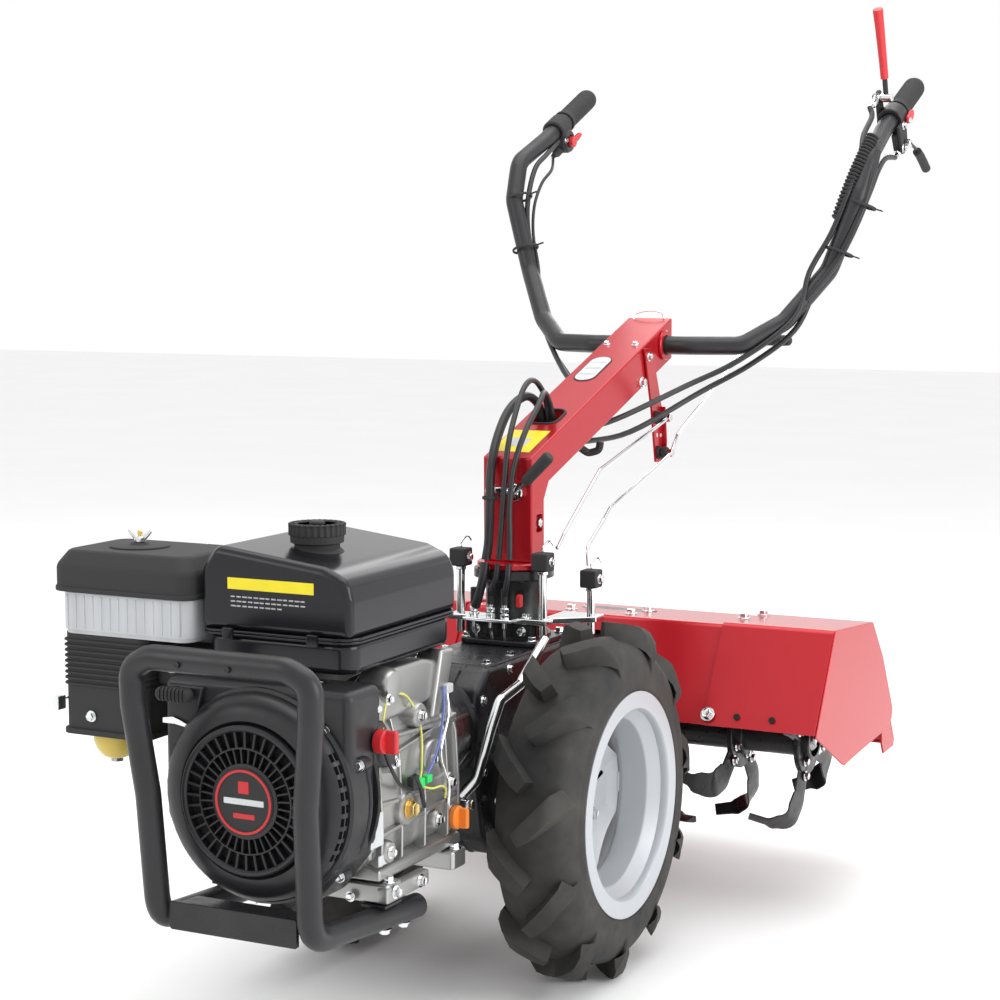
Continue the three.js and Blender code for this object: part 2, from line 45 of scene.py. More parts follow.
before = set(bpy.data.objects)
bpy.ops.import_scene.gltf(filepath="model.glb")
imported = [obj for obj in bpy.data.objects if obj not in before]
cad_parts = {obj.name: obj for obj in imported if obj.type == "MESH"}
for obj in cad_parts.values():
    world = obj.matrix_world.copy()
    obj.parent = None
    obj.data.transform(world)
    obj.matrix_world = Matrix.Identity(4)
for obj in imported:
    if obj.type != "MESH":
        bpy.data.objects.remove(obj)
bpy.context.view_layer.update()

MM = 0.001
TURN = 2 * math.pi
UNIT = {"x": Vector((1, 0, 0)), "y": Vector((0, 1, 0)), "z": Vector((0, 0, 1))}


def middle(node):
    """The centre of a CAD node's box, in metres."""
    low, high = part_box(node)
    return (low + high) / 2


SHIFT_Y = middle("wheel_axle").y
AXLE_Z = middle("wheel_axle").z / MM
CRANK_Z = middle("crankshaft").z / MM
ROTOR_Y = (middle("rotor_shaft").y - SHIFT_Y) / MM
ROTOR_Z = middle("rotor_shaft").z / MM
BAR_HALF = 288
GRIP_END = (986, 1182)
GRIP_PITCH = math.atan2(74, 158)


def at(x, y, z):
    """A place on the machine, in metres in the frame."""
    return Vector((x * MM, y * MM + SHIFT_Y, z * MM))


def on_handle(side):
    """Turns a handle end's own millimetres, +Y out along the grip, into machine millimetres."""
    pitch = Matrix.Rotation(GRIP_PITCH, 3, "X")

    def place(x, y, z):
        spot = pitch @ Vector((x, y, z))
        return spot.x + side * BAR_HALF, spot.y + GRIP_END[0], spot.z + GRIP_END[1]
    return place


# ---- selection and modifiers ----
def settle():
    """Leaves edit mode with nothing selected."""
    if bpy.context.object and bpy.context.object.mode != "OBJECT":
        bpy.ops.object.mode_set(mode="OBJECT")
    bpy.ops.object.select_all(action="DESELECT")


def pick(*objects):
    """Selects only these objects, with the first one active."""
    settle()
    for obj in objects:
        obj.select_set(True)
    bpy.context.view_layer.objects.active = objects[0]
    return objects[0]


def edit(obj, action="SELECT"):
    """Opens one mesh in edit mode, with all of it selected or none."""
    pick(obj)
    bpy.ops.object.mode_set(mode="EDIT")
    bpy.ops.mesh.select_mode(type="FACE")
    bpy.ops.mesh.select_all(action=action)


def select_faces(obj, wanted):
    """Selects the faces of the mesh in edit mode that wanted(face) accepts."""
    shape = bmesh.from_edit_mesh(obj.data)
    for face in shape.faces:
        face.select_set(wanted(face))
    bmesh.update_edit_mesh(obj.data)


def close(obj, merge=1e-6):
    """Merges doubles and turns the faces outwards, then leaves edit mode."""
    bpy.ops.mesh.select_all(action="SELECT")
    bpy.ops.mesh.remove_doubles(threshold=merge)
    bpy.ops.mesh.dissolve_degenerate(threshold=merge)
    bpy.ops.mesh.delete_loose()
    bpy.ops.mesh.select_all(action="SELECT")
    bpy.ops.mesh.normals_make_consistent(inside=False)
    bpy.ops.object.mode_set(mode="OBJECT")
    return obj


def modify(obj, kind, **settings):
    """Adds one modifier and applies it."""
    pick(obj)
    bpy.ops.object.modifier_add(type=kind)
    modifier = obj.modifiers[-1]
    for key, value in settings.items():
        setattr(modifier, key, value)
    bpy.ops.object.modifier_apply(modifier=modifier.name)
    return obj


def soften(obj, width, segments=3, angle=30):
    """Rounds the edges sharper than angle."""
    return modify(obj, "BEVEL", width=width * MM, segments=segments, limit_method="ANGLE",
                  angle_limit=math.radians(angle), use_clamp_overlap=True)


def join(parts):
    """Makes one object of several."""
    pick(*parts)
    if len(parts) > 1:
        bpy.ops.object.join()
    return bpy.context.object


def cut(obj, *tools):
    """Takes the tools' volume out of obj."""
    tool = join(list(tools))
    modify(obj, "BOOLEAN", object=tool, operation="DIFFERENCE", solver="EXACT")
    bpy.data.objects.remove(tool)
    return obj


def twin(obj, matrix):
    """A copy of obj with its own mesh, moved by matrix."""
    copy = obj.copy()
    copy.data = obj.data.copy()
    bpy.context.collection.objects.link(copy)
    copy.data.transform(matrix)
    if matrix.determinant() < 0:
        copy.data.flip_normals()
    return copy


def about(axis, degrees, centre):
    """A turn about an axis through a place."""
    turn = Matrix.Rotation(math.radians(degrees), 4, UNIT[axis])
    return Matrix.Translation(centre) @ turn @ Matrix.Translation(-centre)


def around(part, axis, centre, count, first=0):
    """Copies of a part spread evenly round an axis, and the part itself is used up."""
    copies = [twin(part, about(axis, first + 360 / count * i, centre)) for i in range(count)]
    bpy.data.objects.remove(part)
    return copies


# ---- shapes ----
def placed(axis, a, b, along):
    """A point of an outline in the plane across an axis."""
    return at(*{"x": (along, a, b), "y": (a, along, b), "z": (a, b, along)}[axis])


def polygon(points, fill):
    """A ring of edges, or a face, through the points."""
    settle()
    bpy.ops.mesh.primitive_circle_add(vertices=len(points), fill_type=fill)
    obj = bpy.context.object
    for vertex, point in zip(obj.data.vertices, points):
        vertex.co = point
    return obj


def slab(axis, outline, low, high, material=None):
    """An outline across an axis, given its thickness from low to high."""
    obj = polygon([placed(axis, a, b, low) for a, b in outline], "NGON")
    edit(obj)
    bpy.ops.mesh.extrude_region_move(
        TRANSFORM_OT_translate={"value": UNIT[axis] * (high - low) * MM})
    return paint(close(obj), material)


def turned(axis, profile, centre, material=None, steps=48):
    """A profile of (radius, place along the axis) spun round the axis through centre."""
    def point(radius, along):
        a, b = centre
        return placed(axis, a + radius, b, along) if axis != "x" else placed(axis, a, b + radius, along)

    obj = polygon([point(*p) for p in profile], "NOTHING")
    edit(obj)
    bpy.ops.mesh.spin(steps=steps, angle=TURN, center=placed(axis, *centre, 0), axis=UNIT[axis])
    return paint(close(obj), material)


def rod(axis, radius, low, high, centre, material=None, edge=0.8, steps=32):
    """A round bar with broken edges."""
    edge = min(edge, radius * 0.45, abs(high - low) * 0.45)
    profile = [(0, low), (radius - edge, low), (radius, low + edge), (radius, high - edge),
               (radius - edge, high), (0, high)]
    return turned(axis, profile, centre, material, steps)


def ring(axis, inner, outer, low, high, centre, material=None, edge=0.6, steps=48):
    """A tube or washer with broken edges."""
    profile = [(inner, low), (outer - edge, low), (outer, low + edge), (outer, high - edge),
               (outer - edge, high), (inner, high)]
    return turned(axis, profile, centre, material, steps)


def block(x, y, z, material=None, edge=1.0, segments=2):
    """A box with rounded edges, between pairs of places."""
    settle()
    low, high = at(x[0], y[0], z[0]), at(x[1], y[1], z[1])
    bpy.ops.mesh.primitive_cube_add(size=1, location=(low + high) / 2, scale=high - low)
    bpy.ops.object.transform_apply(location=True, rotation=True, scale=True)
    obj = paint(bpy.context.object, material)
    return soften(obj, edge, segments) if edge else obj


def rounded_rectangle(a, b, radius, steps=5):
    """Corner arcs of a rectangle between two pairs of limits."""
    corners = [(a[1] - radius, b[1] - radius, 0), (a[0] + radius, b[1] - radius, 90),
               (a[0] + radius, b[0] + radius, 180), (a[1] - radius, b[0] + radius, 270)]
    return [(x + radius * math.cos(math.radians(start + 90 * i / steps)),
             y + radius * math.sin(math.radians(start + 90 * i / steps)))
            for x, y, start in corners for i in range(steps + 1)]


def bent(points, radius, steps=6):
    """A line through the points with its corners rounded."""
    spots = [Vector(p) for p in points]
    route = [spots[0]]
    for before, corner, after in zip(spots, spots[1:], spots[2:]):
        back, ahead = before - corner, after - corner
        angle = back.angle(ahead)
        if angle > math.radians(176):
            route.append(corner)
            continue
        reach = min(radius / math.tan(angle / 2), back.length * 0.49, ahead.length * 0.49)
        start, end = corner + back.normalized() * reach, corner + ahead.normalized() * reach
        route += [start * (1 - t) ** 2 + corner * 2 * t * (1 - t) + end * t * t
                  for t in (i / steps for i in range(steps + 1))]
    return route + [spots[-1]]


def flowing(points, steps=6):
    """A smooth line through every point."""
    spots = [Vector(p) for p in points]
    spots = [spots[0] * 2 - spots[1], *spots, spots[-1] * 2 - spots[-2]]
    route = []
    for a, b, c, d in zip(spots, spots[1:], spots[2:], spots[3:]):
        for t in (i / steps for i in range(steps)):
            route.append((b * 2 + (c - a) * t + (a * 2 - b * 5 + c * 4 - d) * t ** 2
                          + (b * 3 - a - c * 3 + d) * t ** 3) / 2)
    return route + [spots[-2]]


def pipe(route, radius, material=None, detail=3, scale=None):
    """A round tube along a line of places; scale gives each place's share of the radius."""
    settle()
    bpy.ops.curve.primitive_nurbs_path_add()
    data = bpy.context.object.data
    data.splines.clear()
    spline = data.splines.new("POLY")
    spline.points.add(len(route) - 1)
    for i, (point, place) in enumerate(zip(spline.points, route)):
        point.co = (*at(*place), 1)
        point.radius = scale[i] if scale else 1
    data.bevel_depth = radius * MM
    data.bevel_resolution = detail
    data.use_fill_caps = True
    bpy.ops.object.convert(target="MESH")
    obj = bpy.context.object
    edit(obj)
    return paint(close(obj), material)


def hexagon(radius):
    """The corners of a hexagon round the origin."""
    return [(radius * math.cos(TURN * i / 6), radius * math.sin(TURN * i / 6)) for i in range(6)]


def upright(direction, spot):
    """The matrix that stands a part made on the ground along a direction, at a place."""
    turn = UNIT["z"].rotation_difference(direction.normalized()).to_matrix().to_4x4()
    return Matrix.Translation(at(*spot)) @ turn @ Matrix.Translation(-at(0, 0, 0))


def facing(part, spot, direction):
    """Moves a part made on the ground to a place, with its top in a direction."""
    part.data.transform(upright(direction, spot))
    return part


def bolts(axis, sign, size, spots, material, washer=True):
    """Hex heads of a size, each on its washer, at the places."""
    head = soften(slab("z", hexagon(size), 0.15 * size, 1.05 * size, material), 0.12 * size, 2)
    edit(head, "DESELECT")
    select_faces(head, lambda face: face.normal.z > 0.99)
    bpy.ops.mesh.inset(thickness=0.22 * size * MM, depth=-0.12 * size * MM)
    bpy.ops.object.mode_set(mode="OBJECT")
    parts = [head]
    if washer:
        parts.append(ring("z", 0.1, 1.35 * size, 0, 0.2 * size, (0, 0), material, 0.05 * size, 20))
    master = join(parts)
    copies = [twin(master, upright(UNIT[axis] * sign, spot)) for spot in spots]
    bpy.data.objects.remove(master)
    return copies


# ---- handing a piece over ----
def paint(obj, material):
    """Gives a mesh one material."""
    if material:
        obj.data.materials.clear()
        obj.data.materials.append(material)
    return obj


def hand_over(name, parts, body, replaced=(), angle=35):
    """Joins a piece's parts, smooths it and lets it ride on its body in place of CAD nodes."""
    obj = join(parts)
    obj.name = name
    obj.data.name = name
    bpy.ops.object.transform_apply(location=True, rotation=True, scale=True)
    bpy.ops.object.shade_smooth_by_angle(angle=math.radians(angle))
    modify(obj, "WEIGHTED_NORMAL", keep_sharp=True, weight=50)
    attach(obj, body)
    if replaced:
        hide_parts(*replaced)
    return obj


# ---- finishes ----
def coordinates(tree, stretch):
    """Object coordinates, stretched where a pattern has a direction."""
    source = tree.nodes.new("ShaderNodeTexCoord").outputs["Object"]
    if not stretch:
        return source
    mapping = tree.nodes.new("ShaderNodeMapping")
    mapping.inputs["Scale"].default_value = stretch
    tree.links.new(source, mapping.inputs["Vector"])
    return mapping.outputs["Vector"]


def noise(tree, scale, detail=3.0, stretch=None):
    node = tree.nodes.new("ShaderNodeTexNoise")
    node.inputs["Scale"].default_value = scale
    node.inputs["Detail"].default_value = detail
    tree.links.new(coordinates(tree, stretch), node.inputs["Vector"])
    return node.outputs["Fac"]


def ramp(tree, factor, stops):
    """Colours at places along a factor."""
    node = tree.nodes.new("ShaderNodeValToRGB")
    elements = node.color_ramp.elements
    while len(elements) < len(stops):
        elements.new(0.5)
    for element, (place, colour) in zip(elements, stops):
        element.position = place
        element.color = (*colour, 1)
    tree.links.new(factor, node.inputs["Fac"])
    return node.outputs["Color"]


def between(tree, factor, low, high, start=0.3, end=0.7):
    """A number that goes from low to high as the factor goes from start to end."""
    node = tree.nodes.new("ShaderNodeMapRange")
    node.inputs["From Min"].default_value = start
    node.inputs["From Max"].default_value = end
    node.inputs["To Min"].default_value = low
    node.inputs["To Max"].default_value = high
    tree.links.new(factor, node.inputs["Value"])
    return node.outputs["Result"]


def relief(tree, shader, layers):
    """Chains bumps of (scale, depth in mm, stretch) on a shader's normal."""
    normal = None
    for scale, depth, stretch in layers:
        bump = tree.nodes.new("ShaderNodeBump")
        bump.inputs["Strength"].default_value = 1.0
        bump.inputs["Distance"].default_value = depth * MM
        tree.links.new(noise(tree, scale, 2.0, stretch), bump.inputs["Height"])
        if normal:
            tree.links.new(normal, bump.inputs["Normal"])
        normal = bump.outputs["Normal"]
    tree.links.new(normal, shader.inputs["Normal"])


def scaled(colour, share):
    """A colour made darker or lighter."""
    return tuple(min(1.0, c * share) for c in colour)


def surface(name, colour, rough, grain, drift=0.12, drift_scale=12.0, metal=0.0, coat=0.0, coat_rough=0.05,
            stretch=None, tint=None, through=0.0, ior=1.45):
    """A finish whose tone and gloss drift over the surface, with a fine grain in its skin.
    rough is the lowest and highest roughness, and grain lists (scale, depth in mm, stretch)."""
    found = bpy.data.materials.get(name)
    if found:
        return found
    material = bpy.data.materials.new(name)
    material.use_nodes = True
    tree = material.node_tree
    shader = tree.nodes["Principled BSDF"]
    shader.inputs["Metallic"].default_value = metal
    shader.inputs["Coat Weight"].default_value = coat
    shader.inputs["Coat Roughness"].default_value = coat_rough
    shader.inputs["Transmission Weight"].default_value = through
    shader.inputs["IOR"].default_value = ior
    drifting = noise(tree, drift_scale, 4.0, stretch)
    stops = [(0.32, scaled(colour, 1 - drift)), (0.68, tint or scaled(colour, 1 + drift))]
    tree.links.new(ramp(tree, drifting, stops), shader.inputs["Base Color"])
    gloss = between(tree, noise(tree, drift_scale * 3.7, 5.0, stretch), *rough)
    tree.links.new(gloss, shader.inputs["Roughness"])
    relief(tree, shader, grain)
    return material


def tyre_rubber(colour):
    """Black rubber whose tone drifts at random towards a dusty grey-brown."""
    return surface("tyre_rubber", colour, (0.62, 0.8), [(900, 0.05, None), (60, 0.25, None)], 0.2, 14.0,
                   tint=(0.042, 0.038, 0.034))


def wire(name, colour):
    """The smooth sheath of a thin wire."""
    return surface(name, colour, (0.35, 0.5), [(1500, 0.02, None)], 0.1, 40.0)


class Finishes:
    """The machine's finishes, made from the colours in the sidebar."""

    def __init__(self, colours):
        black = tuple(colours.black)
        red = tuple(colours.red)
        rubber = tuple(colours.rubber)
        peel = (170, 0.035, None)
        self.tank = surface("black_gloss_paint", scaled(black, 0.8), (0.09, 0.2), [peel], 0.15, 9, coat=0.5)
        self.powder = surface("black_powder_coat", black, (0.3, 0.44), [(650, 0.03, None), peel], 0.15, 10)
        self.casting = surface("black_painted_casting", scaled(black, 0.9), (0.22, 0.42),
                               [(420, 0.09, None), (70, 0.2, None)], 0.25, 18)
        self.plastic = surface("black_plastic", scaled(black, 1.05), (0.34, 0.5),
                               [(1500, 0.03, None), (200, 0.02, None)], 0.15, 14)
        # Near-black paint used as painted shade: laid in holes, slots and recesses where only shadow would
        # show.
        self.shade = surface("painted_recess_shade", scaled(black, 0.3), (0.7, 0.9), [(300, 0.1, None)], 0.2)
        self.red = surface("red_paint", red, (0.2, 0.32), [peel, (900, 0.012, None)], 0.07, 5, coat=0.35,
                           coat_rough=0.12)
        self.red_plastic = surface("red_plastic", scaled(red, 1.5), (0.34, 0.46),
                                   [(1300, 0.025, None)], 0.08, 18)
        self.alloy = surface("cast_alloy", (0.3, 0.295, 0.28), (0.38, 0.6),
                             [(520, 0.14, None), (90, 0.25, None)], 0.28, 16, metal=0.55)
        self.machined = surface("machined_alloy", (0.55, 0.55, 0.54), (0.25, 0.4),
                                [(240, 0.03, (1, 1, 14))], 0.12, 30, metal=0.9)
        self.steel = surface("plain_steel", (0.42, 0.42, 0.43), (0.28, 0.46), [(600, 0.04, None)], 0.18, 22,
                             metal=1.0)
        self.zinc = surface("bright_zinc", (0.72, 0.73, 0.75), (0.13, 0.28), [(420, 0.02, None)], 0.1, 45,
                            metal=1.0)
        self.gold = surface("yellow_zinc", (0.72, 0.52, 0.2), (0.2, 0.35), [(500, 0.03, None)], 0.2, 45,
                            metal=1.0)
        self.rim = surface("rim_silver", tuple(colours.rim), (0.26, 0.38),
                           [(1100, 0.02, None), peel], 0.06, 9, metal=0.55, coat=0.2, coat_rough=0.2)
        self.tyre = tyre_rubber(rubber)
        self.grip = surface("grip_rubber", scaled(rubber, 1.6), (0.55, 0.7), [(1100, 0.06, None)], 0.15, 20)
        self.cable = surface("cable_sheath", scaled(black, 1.1), (0.3, 0.42), [(700, 0.02, None)], 0.12, 30)
        self.band = surface("frosted_band", (0.8, 0.82, 0.85), (0.3, 0.45),
                            [(160, 0.05, (1, 1, 0.05))], 0.1, 40, stretch=(1, 1, 0.05), through=0.4)
        self.filter = surface("filter_paper", (0.72, 0.7, 0.64), (0.8, 0.9),
                              [(500, 0.1, (1, 1, 0.1))], 0.1, 60)
        self.amber = surface("amber_plastic", (0.68, 0.6, 0.06), (0.12, 0.22), [(300, 0.02, None)], 0.2, 30,
                             through=0.35)
        self.orange = surface("orange_plastic", (0.85, 0.3, 0.02), (0.28, 0.4), [(900, 0.03, None)], 0.1, 40)
        self.yellow = surface("yellow_film", (0.86, 0.72, 0.02), (0.3, 0.4), [(500, 0.01, None)], 0.05, 30)
        self.label = surface("silver_film", (0.6, 0.62, 0.63), (0.28, 0.4), [(500, 0.01, None)],
                             0.08, 30, metal=0.3)
        self.print = surface("pale_print", (0.45, 0.45, 0.45), (0.4, 0.5), [(700, 0.01, None)], 0.2, 300)
        self.green = wire("green_wire", (0.03, 0.55, 0.12))
        self.blue = wire("blue_wire", (0.12, 0.16, 0.5))
        self.lime = wire("lime_wire", (0.6, 0.6, 0.12))


def finishes(context):
    """The finishes, made once and then looked up."""
    return Finishes(context.scene.tiller_colours)


# ---- what a user would change ----
class TillerColours(bpy.types.PropertyGroup):
    """Colours of the machine."""
    black: bpy.props.FloatVectorProperty(
        name="Black", description="Colour of the black paint and plastic", subtype="COLOR",
        default=(0.016, 0.016, 0.018), min=0, max=1)
    red: bpy.props.FloatVectorProperty(
        name="Red", description="Colour of the column and the hood", subtype="COLOR",
        default=(0.42, 0.008, 0.014), min=0, max=1)
    rubber: bpy.props.FloatVectorProperty(
        name="Rubber", description="Colour of the tyres and the grips", subtype="COLOR",
        default=(0.02, 0.02, 0.02), min=0, max=1)
    rim: bpy.props.FloatVectorProperty(
        name="Rim", description="Colour of the wheel rims", subtype="COLOR",
        default=(0.5, 0.52, 0.56), min=0, max=1)


class TillerSizes(bpy.types.PropertyGroup):
    """Sizes of the details that the frame leaves open."""
    lug_height: bpy.props.FloatProperty(
        name="Lug height", description="How far the tyre lugs stand out of the tread", default=20.94 * MM,
        min=0.005, max=0.03, unit="LENGTH")
    lug_pairs: bpy.props.IntProperty(
        name="Lug pairs", description="Pairs of lugs round each tyre", default=11, min=6, max=20)
    hoop_radius: bpy.props.FloatProperty(
        name="Hoop radius", description="Radius of the guard's tube", default=14.2 * MM, min=0.008, max=0.016,
        unit="LENGTH")
    cable_radius: bpy.props.FloatProperty(
        name="Cable radius", description="Radius of the control cables", default=4.2 * MM, min=0.002,
        max=0.006, unit="LENGTH")
    camera_lens: bpy.props.FloatProperty(
        name="Camera lens", description="Focal length of the camera", default=78.82, min=20, max=200)


# ---- engine ----
class TILLER_OT_tank(bpy.types.Operator):
    """Adds the fuel tank's two pressed halves, its neck and cap, and plain films on its front"""
    bl_idname = "tiller.tank"
    bl_label = "Fuel tank"

    def execute(self, context):
        f = finishes(context)
        front, back, half = -470, -222, 98
        lower = slab("z", rounded_rectangle((-half + 2, half - 2), (front + 3, back - 3), 24),
                     458, 495, f.tank)
        soften(lower, 9, 5)
        lips = [slab("z", rounded_rectangle((-half - 4, half + 4), (front - 4, back + 4), 27, 8),
                     low, high, f.tank)
                for low, high in ((493.5, 496.6), (497, 500.2))]
        for lip in lips:
            soften(lip, 1.1, 3)
        clips = [block((x - 7, x + 7), (front - 6, front + 1), (490, 503), f.tank, 1.5) for x in (-58, 52)]
        hand_over("tank_bottom", [lower, *lips[:1], *clips], "chassis",
                  ["fuel_tank_lower"])

        crown = [(-half, 498), (-half, 566), (-78, 594), (62, 577), (89, 566), (half, 548), (half, 498)]
        top = slab("y", crown, front, back, f.tank)
        soften(top, 13, 6, 25)
        neck = turned("z", [(20, 570), (31, 570), (31, 581), (26, 586), (26, 597), (20, 597)],
                      (2, -380), f.plastic)
        parts = [top, lips[1], neck]
        strip_z, strip_x = 552.5, -4
        parts.append(block((strip_x - 56, strip_x + 56), (front - 0.5, front + 1),
                           (strip_z - 6.5, strip_z + 6.5), f.yellow, 0.2, 1))
        for row, length in enumerate((52, 54, 38)):
            z = 537 - row * 5.2
            for i in range(length // 4):
                x = -56 + i * 7.6
                parts.append(block((x, x + 5.2 + (i * 7 + row) % 3 * 0.6),
                                   (front - 0.3, front + 1), (z, z + 1.6), f.print, 0))
        hand_over("tank_top", parts, "chassis", ["fuel_tank_upper"])

        flutes, points = 28, 168
        radii = [32 + 1.1 * math.cos(flutes * TURN * i / points) for i in range(points)]
        rim = slab("z", [(2 + r * math.cos(TURN * i / points), -380 + r * math.sin(TURN * i / points))
                         for i, r in enumerate(radii)], 600, 614, f.plastic)
        soften(rim, 2.4, 4, 40)
        edit(rim, "DESELECT")
        select_faces(rim, lambda face: face.normal.z > 0.99 and face.calc_area() > 1e-4)
        bpy.ops.mesh.inset(thickness=5 * MM, depth=0)
        bpy.ops.mesh.inset(thickness=1.5 * MM, depth=-1.4 * MM)
        bpy.ops.object.mode_set(mode="OBJECT")
        skirt = turned("z", [(0, 598.6), (27, 598.6), (27, 590.5), (30.5, 592), (31, 602),
                             (0, 602)], (2, -380),
                       f.plastic)
        hub = turned("z", [(0, 606), (9, 606), (9, 614.4), (7.5, 616), (0, 616.4)], (2, -380), f.plastic)
        hand_over("tank_cap", [rim, skirt, hub], "filler_cap", ["fuel_cap"])
        return {"FINISHED"}


class TILLER_OT_air_cleaner(bpy.types.Operator):
    """Adds the air cleaner's cover, band and element, the intake box under it and its fuel bowl"""
    bl_idname = "tiller.air_cleaner"
    bl_label = "Air cleaner"

    def execute(self, context):
        f = finishes(context)
        cover = slab("z", rounded_rectangle((-296, -103), (-485, -347), 20, 6), 531, 560, f.plastic)
        edit(cover, "DESELECT")
        select_faces(cover, lambda face: face.normal.z > 0.99)
        bpy.ops.mesh.extrude_region_move(TRANSFORM_OT_translate={"value": (0, 0, 18 * MM)})
        bpy.ops.transform.resize(value=(0.87, 0.83, 1), center_override=at(-199, -416, 578))
        bpy.ops.object.mode_set(mode="OBJECT")
        soften(cover, 4, 4, 20)
        lip = slab("z", rounded_rectangle((-297.5, -101.5), (-486.5, -345.5), 21, 6), 530, 536, f.plastic)
        soften(lip, 1.5, 3)
        plate = turned("z", [(0, 577), (33, 577), (35, 578), (35, 579.6), (32, 580.6), (12, 581),
                             (10, 583), (0, 583)],
                       (-216, -418), f.plastic)
        stud = rod("z", 3, 580, 597, (-216, -418), f.gold, 0.8, 16)
        nut = ring("z", 2, 7, 583, 590, (-216, -418), f.zinc, 1.2, 20)
        wing = slab("y", [(3, 584), (9, 587), (17, 596), (15, 599), (9, 594), (3, 590)],
                    -419.4, -416.6, f.zinc)
        wing.data.transform(Matrix.Translation(at(-216, -418, 0) - at(0, -418, 0)))
        soften(wing, 0.8, 2)
        wings = around(wing, "z", at(-216, -418, 0), 2)
        hand_over("cleaner_cover", [cover, lip, plate, stud, nut, *wings], "cleaner_lid",
                  ["air_cleaner_cover"])

        band = slab("z", rounded_rectangle((-288, -106), (-480, -350), 18, 6), 485, 529, f.band)
        edit(band, "DESELECT")
        select_faces(band, lambda face: face.normal.z > 0.99)
        bpy.ops.mesh.inset(thickness=3 * MM, depth=0)
        bpy.ops.mesh.extrude_region_move(TRANSFORM_OT_translate={"value": (0, 0, -40 * MM)})
        bpy.ops.object.mode_set(mode="OBJECT")
        soften(band, 1.0, 2)
        ribs = []
        for x in range(-276, -110, 12):
            ribs.append(block((x, x + 2), (-481, -479), (488, 526), f.band, 0.5, 1))
        for y in range(-466, -356, 12):
            ribs.append(block((-289, -287), (y, y + 2), (488, 526), f.band, 0.5, 1))
        sill = slab("z", rounded_rectangle((-286, -108), (-478, -352), 17, 5), 480.5, 486.5, f.band)
        soften(sill, 1.2, 2)
        pleats = [(-197 + (54 + 3 * (i % 2)) * math.cos(TURN * i / 96),
                   -415 + (46 + 3 * (i % 2)) * math.sin(TURN * i / 96)) for i in range(96)]
        element = slab("z", pleats, 490, 526, f.filter)
        hand_over("cleaner_band", [band, *ribs, sill, element], "chassis", ["air_cleaner_body"])

        box = slab("z", rounded_rectangle((-286, -170), (-476, -398), 12, 4), 366, 483, f.plastic)
        soften(box, 2.5, 3)
        parts = [box]
        for row in range(9):
            z = 420 + 6.4 * row
            fin = slab("z", rounded_rectangle((-288.5, -168), (-478.5, -396), 13, 4), z, z + 2.6, f.plastic)
            parts.append(soften(fin, 0.8, 2))
        parts.append(soften(slab("z", rounded_rectangle((-289, -168), (-479, -396), 13, 4), 362, 369,
                                 f.plastic), 1.5))
        tunnel = block((-172, -96), (-452, -404), (424, 470), f.plastic, 6, 4)
        carburettor = rod("x", 21, -175, -118, (-412, 400), f.alloy, 2)
        parts += [tunnel, carburettor]
        parts += bolts("y", -1, 5, [(-246, -477, 385), (-192, -477, 378)], f.zinc)
        choke = pipe(bent([(-287, -430, 402), (-293, -436, 402), (-297, -452, 400), (-297, -470, 398)],
                          4), 2.4, f.zinc)
        knob = soften(block((-299, -290), (-482, -466), (388, 405), f.zinc, 0), 2)
        parts += [choke, knob, *bolts("x", -1, 5, [(-287, -444, 392)], f.zinc)]
        hand_over("intake_case", parts, "chassis", ["intake_box"])

        spot = (-238, -440)
        bowl = turned("z", [(0, 331), (11, 331), (17, 334), (24, 343), (27, 352), (27, 359),
                            (29, 360), (29, 365.6), (0, 365.6)], spot, f.amber)
        plug = soften(slab("z", [(x + spot[0], y + spot[1]) for x, y in hexagon(8)], 326, 333, f.steel), 0.8)
        collar = ring("z", 1, 24, 361, 365.8, spot, f.gold, 1)
        hand_over("fuel_cup", [bowl, plug, collar], "chassis", ["fuel_bowl"])
        return {"FINISHED"}


